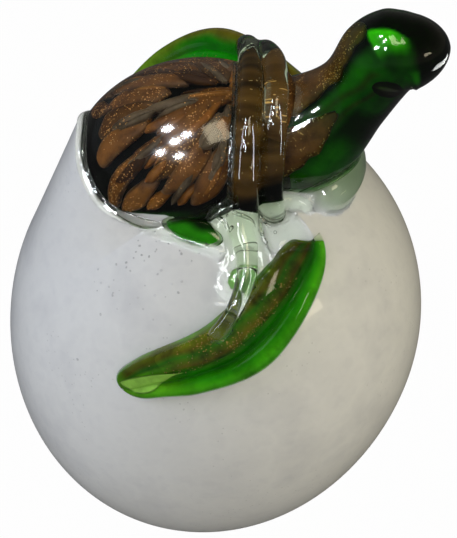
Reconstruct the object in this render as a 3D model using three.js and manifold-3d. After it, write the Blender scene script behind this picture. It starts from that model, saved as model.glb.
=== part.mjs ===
// A sea-turtle hatchling climbing out of its egg: a hot-worked art-glass figurine.
// Every gather of glass is a piece of its own, set against its neighbours with a hairline seam.
// Millimetres, +Z up, +X the way the turtle faces. The origin is the middle of the ground foot.

import * as THREE from "three";
import { mergeVertices } from "three/addons/utils/BufferGeometryUtils.js";
import Module from "manifold-3d";

const wasm = await Module();
wasm.setup();

// Driving dimensions

const SEAM = 0.3; // gap left between two gathers that are fused in the real piece

const EGG_RADIUS = 38;
const EGG_BLUNT_END = 46; // from the widest ring down to the blunt end, along the egg's axis
const EGG_NARROW_END = 40.5; // from the widest ring up to the narrow end
const EGG_LEAN = 12; // degrees that the egg's axis leans towards the turtle's head
const EGG_CENTRE_HEIGHT = 42; // of the widest ring above the table: it sets how much foot is ground away
const EGG_CASING = 2.2; // clear glass over the white

const BODY_LENGTH = 42;
const BODY_WIDTH = 35;
const BODY_HEIGHT = 31;
const BODY_PITCH = 18; // degrees, nose up
const BODY_SINK = 1.8; // of the body's middle below the egg's crown
const BODY_SETBACK = 5.8; // of the body's middle behind the egg's middle
const SHELL_CASING = 1.6; // clear glass over the shell's chips
const SHELL_EDGE_DROP = 2.0; // of the shell's edge below the body's middle
const CHIP_THICKNESS = 1.2;
const CHIP_FILL = 0.92; // share of its pitch that a chip covers

const NECK_THICKNESS = 14.4;
const NECK_FLARE = 7.2; // how much thicker the neck is where it leaves the body
const NECK_REACH = 19.5; // from the front of the body to the middle of the head
const NECK_COAT = 1.0; // copper-fleck glass laid into the nape and the throat
const HEAD_LENGTH = 17;
const HEAD_WIDTH = 14.6;
const HEAD_RISE = 12.4; // of the head above the body's axis
const EYE_LENGTH = 5.4; // of the oval bead, most of it sunk in the cheek

const FLIPPER_LENGTH = 44;
const FLIPPER_BULGE = 13.5; // of the leading edge from the chord
const FLIPPER_HOLLOW = 1.2; // of the trailing edge from the chord
const FLIPPER_THICKNESS = 5.2;
const FLIPPER_SHOULDER_WIDTH = 6.4;
const FLIPPER_TIP_WIDTH = 3.2;
const FLIPPER_COAT = 1.0; // copper-fleck glass laid into the flipper's face
const RIGHT_FLIPPER_LONGITUDE = -92; // degrees round the egg from the head
const RIGHT_FLIPPER_LATITUDE = 33; // degrees above the egg's widest ring
const RIGHT_FLIPPER_SWEEP = 40.5; // degrees that the tip points below level
const LEFT_FLIPPER_CLEARANCE = 8.5; // between the body's side and the middle of the raised flipper
const LEFT_FLIPPER_ADVANCE = 4.4; // of its middle ahead of the body's middle
const LEFT_FLIPPER_LIFT = 8.0; // of its middle above the egg under it

const STRAP_THICKNESS = 4.2; // of the clear trails over the shoulders
const STRAP_STATION = 10.8; // of the rear trail ahead of the body's middle, at the shoulders
const STRAP_RAKE = 4.2; // how much further ahead it is on top of the back
const RIM_WIDTH = 1.6; // of the clear lip where the body meets the egg
const RIM_HEIGHT = 1.2;
const COLLAR_THICKNESS = 1.0; // of the egg's wall that stands up behind the tail
const COLLAR_RISE = 8.5; // of that wall above the body's axis, at the tail

const radians = THREE.MathUtils.degToRad;

// Solids from geometry

// The closed surface of a geometry as a solid.
function solid(geometry) {
  const bare = geometry.clone();
  bare.deleteAttribute("normal");
  bare.deleteAttribute("uv");
  const merged = mergeVertices(bare, 1e-4);
  return new wasm.Manifold(
    new wasm.Mesh({
      numProp: 3,
      vertProperties: new Float32Array(merged.attributes.position.array),
      triVerts: new Uint32Array(merged.index.array),
    }),
  );
}

// A geometry drawn in a group's frame, as a solid in the part's frame.
function placed(group, geometry) {
  return solid(geometry.clone().applyMatrix4(group.matrixWorld));
}

// A solid in the part's frame, as a geometry in the frame of the group that will hold it.
function geometryOf(piece, group) {
  const mesh = piece.transform(group.matrixWorld.clone().invert().elements).getMesh();
  const geometry = new THREE.BufferGeometry();
  geometry.setAttribute("position", new THREE.BufferAttribute(mesh.vertProperties, 3));
  geometry.setIndex(new THREE.BufferAttribute(mesh.triVerts, 1));
  return geometry;
}

// A solid with others taken out of it.
function cut(piece, ...others) {
  return others.reduce((rest, other) => rest.subtract(other), piece);
}

// A closed skin through rings of equally many points, fanned shut at both ends.
function loft(rings) {
  const count = rings[0].length;
  const hub = rings.length * count;
  const positions = rings.flat().flatMap((p) => [p.x, p.y, p.z]);
  const index = [];
  for (let r = 0; r + 1 < rings.length; r++) {
    for (let i = 0; i < count; i++) {
      const a = r * count + i;
      const b = r * count + ((i + 1) % count);
      index.push(a, b, a + count, b, b + count, a + count);
    }
  }
  for (const ring of [rings[0], rings[rings.length - 1]]) {
    const middle = ring.reduce((sum, p) => sum.add(p), new THREE.Vector3()).divideScalar(count);
    positions.push(middle.x, middle.y, middle.z);
  }
  for (let i = 0; i < count; i++) {
    const next = (i + 1) % count;
    index.push(hub, next, i);
    index.push(hub + 1, hub - count + i, hub - count + next);
  }
  const geometry = new THREE.BufferGeometry();
  geometry.setAttribute("position", new THREE.Float32BufferAttribute(positions, 3));
  geometry.setIndex(index);
  return geometry;
}

// A ball drawn out to three half sizes.
function ellipsoid(x, y, z, around = 24, down = 14) {
  return new THREE.SphereGeometry(1, around, down).rotateX(Math.PI / 2).scale(x, y, z);
}

// A block that holds everything on one side of a level plane.
function halfSpace(level, above) {
  const size = 400;
  return new THREE.BoxGeometry(size, size, size).translate(0, 0, level + (above ? size / 2 : -size / 2));
}

// The largest of the bodies that a cut has left.
function largest(piece) {
  return piece.decompose().reduce((best, next) => (next.volume() > best.volume() ? next : best));
}

// A round trail of glass along points, with rounded ends.
function trail(points, radius) {
  const steps = 26;
  const sides = 8;
  const curve = new THREE.CatmullRomCurve3(points);
  const length = curve.getLength();
  const frames = curve.computeFrenetFrames(steps);
  const rings = [];
  for (let i = 0; i <= steps; i++) {
    const centre = curve.getPointAt(i / steps);
    const toEnd = (length * Math.min(i, steps - i)) / steps;
    const blunt = Math.max(0.3, Math.sqrt(1 - (1 - Math.min(1, toEnd / radius)) ** 2));
    const ring = [];
    for (let s = 0; s < sides; s++) {
      const turn = (2 * Math.PI * s) / sides;
      ring.push(
        centre
          .clone()
          .addScaledVector(frames.normals[i], radius * blunt * Math.cos(turn))
          .addScaledVector(frames.binormals[i], radius * blunt * Math.sin(turn)),
      );
    }
    rings.push(ring);
  }
  return loft(rings);
}

// Frames

const root = new THREE.Group();
const egg = new THREE.Group();
const turtle = new THREE.Group();
const rightFlipper = new THREE.Group();
const leftFlipper = new THREE.Group();
root.add(egg, turtle, rightFlipper, leftFlipper);

// The ground foot is a slice of a leaning egg, so its middle lies to one side of the egg's.
const lean = radians(EGG_LEAN);
const widthTerm = 1 / EGG_RADIUS ** 2;
const heightTerm = 1 / EGG_BLUNT_END ** 2;
const footOffset =
  (EGG_CENTRE_HEIGHT * Math.sin(lean) * Math.cos(lean) * (widthTerm - heightTerm)) /
  (Math.cos(lean) ** 2 * widthTerm + Math.sin(lean) ** 2 * heightTerm);
egg.position.set(footOffset, 0, EGG_CENTRE_HEIGHT);
egg.rotation.y = lean;

const crownHeight = EGG_CENTRE_HEIGHT + EGG_NARROW_END * Math.cos(lean);
turtle.position.set(footOffset - BODY_SETBACK, 0, crownHeight - BODY_SINK);
turtle.rotation.y = -radians(BODY_PITCH);
root.updateMatrixWorld(true);

// Puts a group at a point, its x along a direction and its z as near as can be to another.
function pose(group, point, along, up) {
  const x = along.clone().normalize();
  const y = up.clone().cross(x).normalize();
  const z = x.clone().cross(y);
  group.position.copy(point);
  group.quaternion.setFromRotationMatrix(new THREE.Matrix4().makeBasis(x, y, z));
  group.updateMatrixWorld(true);
}

// The egg

// The egg's outside, grown by an amount all over.
function eggSolid(grow) {
  const around = 44;
  const steps = 22;
  const profile = [];
  for (let i = 0; i <= steps; i++) {
    const angle = -Math.PI / 2 + (Math.PI * i) / steps;
    const end = angle < 0 ? EGG_BLUNT_END : EGG_NARROW_END;
    const onAxis = i === 0 || i === steps;
    const radius = onAxis ? 0 : (EGG_RADIUS + grow) * Math.cos(angle);
    profile.push(new THREE.Vector2(radius, (end + grow) * Math.sin(angle)));
  }
  return placed(egg, new THREE.LatheGeometry(profile, around).rotateX(Math.PI / 2));
}

const belowTable = solid(halfSpace(0, false));

// The body

// The body's outside, grown by an amount all over.
function bodySolid(grow) {
  return placed(turtle, ellipsoid(BODY_LENGTH / 2 + grow, BODY_WIDTH / 2 + grow, BODY_HEIGHT / 2 + grow));
}

const aboveShellEdge = placed(turtle, halfSpace(SEAM - SHELL_EDGE_DROP, true));
const belowShellEdge = placed(turtle, halfSpace(-SHELL_EDGE_DROP, false));
const chipBed = -(SHELL_CASING + CHIP_THICKNESS + 2 * SEAM); // of the dome under the chips, from the outside

const socket = bodySolid(SEAM);
const bodyCore = bodySolid(0).intersect(belowShellEdge).add(bodySolid(chipBed));
const shellCasing = bodySolid(0).subtract(bodySolid(-SHELL_CASING)).intersect(aboveShellEdge);

// The chips fan out from a pole on the shell's right front, in rings that grow with distance from it.
const fanPole = new THREE.Vector3(0.58, -0.57, 0.56).normalize();
const fanSide = new THREE.Vector3(0, 0, 1).cross(fanPole).normalize();
const fanUp = fanPole.clone().cross(fanSide);
const fanRings = [
  { from: 12, to: 50, count: 12, shift: 0 },
  { from: 50, to: 92, count: 19, shift: 0.5 },
  { from: 92, to: 132, count: 18, shift: 0 },
];

function fanDirection(away, round) {
  return fanPole
    .clone()
    .multiplyScalar(Math.cos(away))
    .addScaledVector(fanSide, Math.sin(away) * Math.cos(round))
    .addScaledVector(fanUp, Math.sin(away) * Math.sin(round));
}

// One chip: a lens on the dome, long in the direction away from the pole.
function chipGeometry(away, round, halfAway, halfRound) {
  const spokes = 10;
  const half = [BODY_LENGTH, BODY_WIDTH, BODY_HEIGHT].map((size) => size / 2 + chipBed + SEAM);
  const ring = (share, rise) =>
    Array.from({ length: spokes }, (_, i) => {
      const turn = (2 * Math.PI * i) / spokes;
      const spot = fanDirection(
        away - share * halfAway * Math.cos(turn),
        round + share * halfRound * Math.sin(turn),
      );
      return new THREE.Vector3(
        spot.x * (half[0] + rise),
        spot.y * (half[1] + rise),
        spot.z * (half[2] + rise),
      );
    });
  const crown = [0.5, 1].map((share) => ring(share, CHIP_THICKNESS * (1 - 0.7 * share ** 2)));
  const bed = [1, 0.5].map((share) => ring(share, 0));
  return loft([...crown, ...bed]);
}

// A chip is kept where it lies on the back, above the shell's edge and behind the shoulder trails.
const chips = [];
for (const { from, to, count, shift } of fanRings) {
  for (let i = 0; i < count; i++) {
    const away = radians((from + to) / 2);
    const halfAway = radians((to - from) / 2);
    const round = (2 * Math.PI * (i + shift)) / count;
    const ends = [-0.8, 0, 0.8].map((share) => fanDirection(away + share * halfAway, round));
    if (ends.every((spot) => spot.z > -0.05 && spot.x < 0.72)) {
      const halfRound = (Math.PI / count) * CHIP_FILL;
      chips.push(placed(turtle, chipGeometry(away, round, halfAway * CHIP_FILL, halfRound)));
    }
  }
}

// The neck and head

const bodyFront = BODY_LENGTH / 2;
const headMiddle = bodyFront + NECK_REACH;
const neckHalf = NECK_THICKNESS / 2;
const headHalf = HEAD_WIDTH / 2;
const beakRound = HEAD_LENGTH * 0.315; // of the round end beyond the last station

// Where the spine runs, the half width there and the degrees that it points up: inside the body, chest, neck,
// nape, crown, brow and beak.
const neckStations = [
  [bodyFront - BODY_LENGTH / 3, -HEAD_RISE * 0.08, neckHalf + NECK_FLARE * 0.5, -1],
  [bodyFront, -HEAD_RISE * 0.1, neckHalf + NECK_FLARE * 0.42, 13],
  [bodyFront + NECK_REACH * 0.51, HEAD_RISE * 0.37, neckHalf, 36],
  [headMiddle - HEAD_LENGTH * 0.2, HEAD_RISE * 0.85, neckHalf * 1.03, 36],
  [headMiddle, HEAD_RISE * 0.955, headHalf, 12],
  [headMiddle + HEAD_LENGTH * 0.124, HEAD_RISE * 0.903, headHalf * 0.952, 0],
  [headMiddle + HEAD_LENGTH * 0.218, HEAD_RISE * 0.855, headHalf * 0.87, -7],
];
const through = (points) => new THREE.CatmullRomCurve3(points, false, "catmullrom");
const neckSpine = through(neckStations.map(([x, z]) => new THREE.Vector3(x, 0, z)));
const neckForm = through(neckStations.map(([x, , half, slope]) => new THREE.Vector3(x, half, slope)));

// The way that the neck points at a share of its length.
function neckForward(t) {
  const slope = radians(neckForm.getPoint(t).z);
  return new THREE.Vector3(Math.cos(slope), 0, Math.sin(slope));
}

// A point on the neck's skin, grown by an amount: t from the body to the beak, turn from the nape to the right.
function neckPoint(t, turn, grow) {
  const forward = neckForward(t);
  const up = new THREE.Vector3(-forward.z, 0, forward.x);
  const half = neckForm.getPoint(t).y + grow;
  return neckSpine
    .getPoint(t)
    .addScaledVector(up, half * Math.cos(turn))
    .add(new THREE.Vector3(0, -half * Math.sin(turn), 0));
}

function neckSolid(grow) {
  const steps = 20;
  const sides = 16;
  const rings = [];
  for (let i = 0; i <= steps; i++) {
    const ring = [];
    for (let s = 0; s < sides; s++) {
      ring.push(neckPoint(i / steps, (2 * Math.PI * s) / sides, grow));
    }
    rings.push(ring);
  }
  const tip = neckSpine.getPoint(1);
  const forward = neckForward(1);
  const end = neckForm.getTangent(1);
  const narrowing = (-2 * end.y * beakRound) / (end.x * neckForm.getPoint(1).y);
  for (const reach of [0.35, 0.65, 0.88, 0.98]) {
    const width = Math.sqrt(1 - narrowing * reach - (1 - narrowing) * reach ** 2);
    rings.push(
      rings[steps].map((p) =>
        p.clone().sub(tip).multiplyScalar(width).add(tip).addScaledVector(forward, (beakRound + grow) * reach),
      ),
    );
  }
  return placed(turtle, loft(rings));
}

// A tongue of copper-fleck glass laid flush into the neck's skin, narrowing towards the head.
const tongues = {
  nape_coat: { to: 0.595, middle: 0, halfTurn: 36 },
  throat_coat_right: { to: 0.36, middle: 68, halfTurn: 25 },
  throat_coat_left: { to: 0.36, middle: -68, halfTurn: 25 },
};
function tongueSolid({ to, middle, halfTurn }, grow) {
  const steps = 8;
  const arc = 6;
  const from = 0.03; // well inside the body, which trims the tongue
  const rings = [];
  for (let i = 0; i <= steps; i++) {
    const share = i / steps;
    const t = THREE.MathUtils.lerp(from, to + grow / neckSpine.getLength(), share);
    const reach = radians(halfTurn) * Math.sqrt(1 - 0.98 * share ** 2) + grow / neckHalf;
    const turns = Array.from({ length: arc + 1 }, (_, a) => radians(middle) + reach * ((2 * a) / arc - 1));
    const outer = turns.map((turn) => neckPoint(t, turn, grow));
    const inner = turns.map((turn) => neckPoint(t, turn, -NECK_COAT - grow)).reverse();
    rings.push([...outer, ...inner]);
  }
  return placed(turtle, loft(rings));
}

const eyeSpots = [-1, 1].map(
  (side) => new THREE.Vector3(headMiddle - HEAD_LENGTH * 0.15, side * headHalf * 0.8, HEAD_RISE * 0.78),
);
function eyeSolid(spot, grow) {
  const long = EYE_LENGTH / 2 + grow;
  const short = EYE_LENGTH * 0.33 + grow;
  const bead = ellipsoid(long, short, short, 10, 8).rotateY(radians(36));
  return placed(turtle, bead.translate(spot.x, spot.y, spot.z));
}

// The flippers

// Heights of a blade's face at shares of its width, from the thin trailing edge over a flat face
// and a crease to the rolled leading edge.
const bladeFace = [
  [0, 0.3],
  [0.1, 0.55],
  [0.32, 0.68],
  [0.54, 0.66],
  [0.62, 0.56],
  [0.72, 0.86],
  [0.84, 1.0],
  [0.94, 0.82],
  [1, 0.34],
];
const coatFace = bladeFace.slice(1, 4); // where the copper-fleck glass lies
const bladeCurl = EGG_RADIUS + FLIPPER_THICKNESS; // radius that the blade was slumped over

// The width that the blade's ends give it, between shoulder and tip.
const bladeEnd = (share) => THREE.MathUtils.lerp(FLIPPER_SHOULDER_WIDTH, FLIPPER_TIP_WIDTH, share);

// The blade in its own frame: x runs from the shoulder end to the tip, z off the face, and the leading
// edge lies at +y or -y as lead says.
function bladePoint(share, across, height, lead) {
  const bow = Math.max(0, 1 - (2 * share - 1) ** 2);
  const trailing = FLIPPER_HOLLOW * bow;
  const leading = bladeEnd(share) * (1 - bow) + FLIPPER_BULGE * bow ** 0.9;
  const x = FLIPPER_LENGTH * (share - 0.5);
  const y = trailing + (leading - trailing) * across - FLIPPER_BULGE / 2;
  return new THREE.Vector3(x, lead * y, height - (x * x + y * y) / (2 * bladeCurl));
}

// A skin over part of the blade's length and width, from a floor to its face, grown by an amount.
function bladeLoft(lead, section, floor, ends, grow) {
  const steps = 14;
  const rings = [];
  const overX = grow / FLIPPER_LENGTH;
  for (let i = 0; i <= steps; i++) {
    const share = ends + ((1 - 2 * ends) * (1 - Math.cos((Math.PI * i) / steps))) / 2;
    const bow = 1 - (2 * share - 1) ** 2;
    const taper = FLIPPER_THICKNESS * (0.42 + 0.58 * bow ** 0.7);
    const width = bladeEnd(share) * (1 - bow) + FLIPPER_BULGE * bow ** 0.9 - FLIPPER_HOLLOW * bow;
    const first = section[0][0];
    const last = section[section.length - 1][0];
    const spread = (across) => across + (grow / width) * ((2 * (across - first)) / (last - first) - 1);
    const along = share + overX * Math.sign(share - 0.5) * (i === 0 || i === steps ? 1 : 0);
    const top = section.map(([across, height]) =>
      bladePoint(along, spread(across), height * taper + grow, lead),
    );
    const back = section.map(([across]) => bladePoint(along, spread(across), floor(taper) - grow, lead));
    rings.push([...top, ...back.reverse()]);
  }
  return loft(lead > 0 ? rings.map((ring) => ring.reverse()) : rings);
}

const bladeSolid = (group, lead, grow) =>
  placed(group, bladeLoft(lead, bladeFace, (taper) => -0.5 * taper, 0, grow));

// The laid-in glass is a flat-bottomed sliver, flush with the face.
const coatSolid = (group, lead, grow) =>
  placed(group, bladeLoft(lead, coatFace, (taper) => coatFace[0][1] * taper - FLIPPER_COAT, 0.06, grow));

// The right flipper lies on the egg: its middle is a place on the egg's surface, and it faces straight off it.
const longitude = radians(RIGHT_FLIPPER_LONGITUDE);
const latitude = radians(RIGHT_FLIPPER_LATITUDE);
const sweep = radians(RIGHT_FLIPPER_SWEEP);
const onEgg = new THREE.Vector3(
  EGG_RADIUS * Math.cos(latitude) * Math.cos(longitude),
  EGG_RADIUS * Math.cos(latitude) * Math.sin(longitude),
  EGG_NARROW_END * Math.sin(latitude),
);

// The way straight off the egg's upper half at a place in its frame.
function offEgg(place) {
  const slope = new THREE.Vector3(place.x * widthTerm, place.y * widthTerm, place.z / EGG_NARROW_END ** 2);
  return slope.transformDirection(egg.matrixWorld);
}

const rightFace = offEgg(onEgg);
const levelBack = rightFace.clone().cross(new THREE.Vector3(0, 0, 1)).normalize();
const downhill = rightFace.clone().cross(levelBack).normalize();
const rightTip = levelBack.multiplyScalar(Math.cos(sweep)).addScaledVector(downhill, Math.sin(sweep));
pose(rightFlipper, egg.localToWorld(onEgg.clone()), rightTip, rightFace);

// The height of the egg's upper side over a place on the table.
function eggTop(x, y) {
  const ahead = x - footOffset;
  const sine = Math.sin(lean);
  const cosine = Math.cos(lean);
  const tallTerm = 1 / EGG_NARROW_END ** 2;
  const a = sine ** 2 * widthTerm + cosine ** 2 * tallTerm;
  const b = 2 * ahead * sine * cosine * (tallTerm - widthTerm);
  const c = ahead ** 2 * (cosine ** 2 * widthTerm + sine ** 2 * tallTerm) + y ** 2 * widthTerm - 1;
  return EGG_CENTRE_HEIGHT + (-b + Math.sqrt(b ** 2 - 4 * a * c)) / (2 * a);
}

// The left flipper is raised beside the body, its leading edge up.
const leftMiddle = turtle.localToWorld(
  new THREE.Vector3(LEFT_FLIPPER_ADVANCE, BODY_WIDTH / 2 + LEFT_FLIPPER_CLEARANCE, 0),
);
leftMiddle.z = eggTop(leftMiddle.x, leftMiddle.y) + LEFT_FLIPPER_LIFT;
const leftTip = new THREE.Vector3(-0.9, 0.71, -0.09).transformDirection(turtle.matrixWorld);
const leftFace = new THREE.Vector3(-0.2, -0.4, 0.93).transformDirection(turtle.matrixWorld);
pose(leftFlipper, leftMiddle, leftTip, leftFace);

// The clear trails

// A point on the arch of a trail over the shoulders: turn runs from the top of the back to the right. On the
// far side the arch stands off the body and the trails draw together.
const neckBase = neckHalf + NECK_FLARE * 0.46 + SEAM;
function archPoint(ahead, turn) {
  const far = THREE.MathUtils.smoothstep(-turn, 0, radians(55));
  const x = STRAP_STATION + STRAP_RAKE * Math.cos(turn) + ahead * (1 - 0.35 * far);
  const slice = Math.sqrt(Math.max(0, 1 - (x / bodyFront) ** 2));
  const lift = STRAP_THICKNESS * (0.35 + 0.5 * far);
  const y = Math.max((BODY_WIDTH / 2) * slice, neckBase) + lift;
  const z = Math.max((BODY_HEIGHT / 2) * slice, neckBase) + lift;
  return turtle.localToWorld(new THREE.Vector3(x, -y * Math.sin(turn), z * Math.cos(turn)));
}

const strapPitch = STRAP_THICKNESS + SEAM;
const archTurns = [-62, -40, -15, 15, 45, 75, 98];
const onRight = (share, across, height) =>
  rightFlipper.localToWorld(bladePoint(share, across, height * FLIPPER_THICKNESS, 1));
const onLeft = (share, across, height) =>
  leftFlipper.localToWorld(bladePoint(share, across, height * FLIPPER_THICKNESS, -1));
const strapFoot = turtle.localToWorld(new THREE.Vector3(STRAP_STATION, -BODY_WIDTH / 2, 0));
const rearPath = [
  onLeft(0.2, 0.8, 0.85),
  onLeft(0.18, 0.4, 0.95),
  ...archTurns.map((turn) => archPoint(0, radians(turn))),
  onRight(0.15, -0.83, 0.42),
  onRight(0.21, -0.48, 0.56),
  onRight(0.28, -0.21, 0.78),
  onRight(0.37, -0.04, 0.9),
  onRight(0.45, 0.05, 0.88),
  onRight(0.52, 0.1, 0.8),
];
const frontEnd = new THREE.Vector2(strapFoot.x + STRAP_THICKNESS * 1.11, strapFoot.y + STRAP_THICKNESS * 0.6);
const frontPath = [
  onLeft(0.14, 0.8, 0.85),
  onLeft(0.12, 0.4, 0.95),
  ...archTurns.map((turn) => archPoint(strapPitch, radians(turn))),
  new THREE.Vector3(frontEnd.x, frontEnd.y, eggTop(frontEnd.x, frontEnd.y) + STRAP_THICKNESS / 3),
];

// Lumps that spread over the egg from the trails' feet, in thicknesses of the trails: ahead of the rear trail's
// foot, out from the body's side, heading in degrees, lift off the egg, half sizes along, across and up.
const rearFoot = [
  [-0.48, -0.02, 0, 0.21, 0.88, 0.79, 0.62],
  [0.09, 0.74, -80, 0.05, 1.1, 0.81, 0.29],
  [-0.81, 1.79, -115, 0, 1.29, 0.62, 0.21],
];
const frontFoot = [[2.04, -1.31, 0, 0.21, 0.71, 0.33, 0.33]];
const rightWeb = [[1.38, -0.12, -20, 0.02, 1.19, 0.86, 0.26]];
const leftWeb = [
  [3.04, -1.43, 20, 0.19, 1.1, 0.86, 0.57],
  [1.61, -0.12, 40, 0.14, 1.05, 0.76, 0.48],
];

function eggLump(side, [ahead, out, heading, lift, ...halves], grow) {
  const x = strapFoot.x + ahead * STRAP_THICKNESS;
  const y = side * (BODY_WIDTH / 2 + out * STRAP_THICKNESS);
  const spot = new THREE.Vector3(x, y, eggTop(x, y) + lift * STRAP_THICKNESS);
  const up = offEgg(egg.worldToLocal(spot.clone()));
  const along = new THREE.Vector3(Math.cos(radians(heading)), Math.sin(radians(heading)), 0).projectOnPlane(up);
  const bed = new THREE.Group();
  pose(bed, spot, along, up);
  return placed(bed, ellipsoid(...halves.map((half) => half * STRAP_THICKNESS + grow), 14, 10));
}

const joined = (pieces) => pieces.reduce((whole, next) => whole.add(next));

// A trail and the lumps at its foot.
const strapSolid = (path, foot, grow) =>
  joined([solid(trail(path, STRAP_THICKNESS / 2 + grow)), ...foot.map((shape) => eggLump(-1, shape, grow))]);

const webSolid = (side, shapes, grow) => joined(shapes.map((shape) => eggLump(side, shape, grow)));

// The lip round the opening, which rises behind the tail as a wall, and the web under the throat

// Everything below a plane that leans up towards the tail, raised by an amount.
function belowCollarEdge(raise) {
  const low = new THREE.Vector2(BODY_LENGTH * 0.2, SHELL_EDGE_DROP);
  const slope = Math.atan2(COLLAR_RISE + low.y, BODY_LENGTH * 0.4 - low.x);
  return placed(turtle, halfSpace(raise, false).rotateY(slope).translate(-low.x, 0, -low.y));
}

function rimSolid(grow) {
  const lip = bodySolid(RIM_WIDTH + grow).intersect(eggSolid(RIM_HEIGHT + grow));
  const brim = bodySolid(COLLAR_THICKNESS + grow).intersect(belowCollarEdge(grow));
  const wall = wasm.Manifold.hull([brim, eggSolid(grow)]).intersect(belowCollarEdge(grow));
  return largest(cut(lip.add(wall), bodySolid(SEAM - grow), eggSolid(SEAM - grow), belowTable));
}

const lump = (x, y, z, a, b, c) => placed(turtle, ellipsoid(a, b, c, 12, 8).translate(x, y, z));
const throat = lump(bodyFront + neckHalf * 0.2, 0, -BODY_HEIGHT * 0.32, neckHalf, neckBase, BODY_HEIGHT * 0.16);

// Meshes

function glass(colour, roughness, opacity = 1) {
  return new THREE.MeshStandardMaterial({ color: colour, roughness, opacity, transparent: opacity < 1 });
}

const opal = glass(0xe6e6e4, 0.12);
const clear = glass(0xe4ece6, 0.03, 0.35);
const green = glass(0x1f8a10, 0.03);
const darkGreen = glass(0x0c2a0a, 0.03);
const copperFleck = new THREE.MeshStandardMaterial({ color: 0x6b431a, roughness: 0.25, metalness: 0.3 });
const black = glass(0x0b0a0a, 0.05);

function add(group, name, piece, material) {
  const mesh = new THREE.Mesh(geometryOf(piece, group), material);
  mesh.name = name;
  group.add(mesh);
}

const eggSkin = eggSolid(SEAM);
const neckSkin = neckSolid(SEAM);
const rimSkin = rimSolid(SEAM);
const rightSkin = bladeSolid(rightFlipper, 1, SEAM);
const leftSkin = bladeSolid(leftFlipper, -1, SEAM);
const rearSkin = strapSolid(rearPath, rearFoot, SEAM);
const frontSkin = strapSolid(frontPath, frontFoot, SEAM);
const trunk = [socket, neckSkin, eggSkin, rimSkin];
const carriers = [...trunk, rightSkin, leftSkin];

add(egg, "egg_core", cut(eggSolid(-EGG_CASING - SEAM), belowTable, socket), opal);
add(egg, "egg_casing", cut(eggSolid(0), eggSolid(-EGG_CASING), belowTable, socket), clear);
add(turtle, "opening_rim", rimSolid(0), clear);
add(turtle, "body_core", bodyCore, darkGreen);
add(turtle, "shell_casing", shellCasing, clear);
chips.forEach((chip, i) => add(turtle, `shell_chip_${String(i + 1).padStart(2, "0")}`, chip, copperFleck));
add(
  turtle,
  "neck_and_head",
  cut(
    neckSolid(0),
    socket,
    eggSkin,
    rimSkin,
    ...eyeSpots.map((spot) => eyeSolid(spot, SEAM)),
    ...Object.values(tongues).map((tongue) => tongueSolid(tongue, SEAM)),
  ),
  green,
);
for (const [name, tongue] of Object.entries(tongues)) {
  add(turtle, name, cut(tongueSolid(tongue, 0), socket, eggSkin, rimSkin), copperFleck);
}
add(turtle, "eye_right", eyeSolid(eyeSpots[0], 0), black);
add(turtle, "eye_left", eyeSolid(eyeSpots[1], 0), black);
add(
  rightFlipper,
  "flipper_right",
  largest(cut(bladeSolid(rightFlipper, 1, 0), ...trunk, coatSolid(rightFlipper, 1, SEAM))),
  green,
);
add(rightFlipper, "flipper_right_coat", largest(cut(coatSolid(rightFlipper, 1, 0), ...trunk)), copperFleck);
add(
  leftFlipper,
  "flipper_left",
  largest(cut(bladeSolid(leftFlipper, -1, 0), ...trunk, coatSolid(leftFlipper, -1, SEAM))),
  green,
);
add(leftFlipper, "flipper_left_coat", largest(cut(coatSolid(leftFlipper, -1, 0), ...trunk)), copperFleck);
add(turtle, "strap_rear", largest(cut(strapSolid(rearPath, rearFoot, 0), ...carriers)), clear);
add(turtle, "strap_front", largest(cut(strapSolid(frontPath, frontFoot, 0), ...carriers, rearSkin)), clear);
const trails = [rearSkin, frontSkin];
add(turtle, "shoulder_web_right", largest(cut(webSolid(-1, rightWeb, 0), ...carriers, ...trails)), clear);
add(turtle, "shoulder_web_left", largest(cut(webSolid(1, leftWeb, 0), ...carriers, ...trails)), clear);
const webSkins = [webSolid(-1, rightWeb, SEAM), webSolid(1, leftWeb, SEAM)];
add(turtle, "throat_web", cut(throat, ...carriers, ...trails, ...webSkins), clear);

export default root;
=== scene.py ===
import math

import bmesh
import bpy
import numpy as np
from mathutils import Matrix, Vector
from mathutils.bvhtree import BVHTree


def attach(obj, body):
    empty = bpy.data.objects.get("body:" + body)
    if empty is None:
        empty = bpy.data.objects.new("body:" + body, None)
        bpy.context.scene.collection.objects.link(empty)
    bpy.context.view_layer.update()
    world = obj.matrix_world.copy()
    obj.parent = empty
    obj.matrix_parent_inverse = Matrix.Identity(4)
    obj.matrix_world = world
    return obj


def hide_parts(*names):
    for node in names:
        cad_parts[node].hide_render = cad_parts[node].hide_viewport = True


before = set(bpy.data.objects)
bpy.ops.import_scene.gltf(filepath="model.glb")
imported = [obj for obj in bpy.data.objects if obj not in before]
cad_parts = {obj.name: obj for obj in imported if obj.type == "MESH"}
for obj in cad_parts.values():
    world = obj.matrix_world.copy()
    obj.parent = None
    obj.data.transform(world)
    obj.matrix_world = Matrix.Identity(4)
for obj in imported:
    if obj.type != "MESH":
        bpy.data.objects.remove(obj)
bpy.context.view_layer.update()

# A sea-turtle hatchling climbing out of its egg, in hot-worked glass. Shapes are drawn in millimetres, in the
# part's frame, and made in metres.

MM = 0.001
rng = np.random.default_rng(11)

# Driving dimensions

EGG_RADIUS = 38.0
EGG_BLUNT_END = 46.0
EGG_NARROW_END = 40.5
EGG_LEAN = 12.0
EGG_CENTRE_HEIGHT = 42.0
FOOT_BEVEL = 0.5

BODY_HALF = np.array([21.0, 17.5, 15.5])
BODY_PITCH = 18.0
BODY_SINK = 1.8
BODY_SETBACK = 5.8
SHELL_CASING = 1.6
SHELL_EDGE_DROP = 2.0
CHIP_THICKNESS = 1.2
SEAM = 0.3

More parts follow.
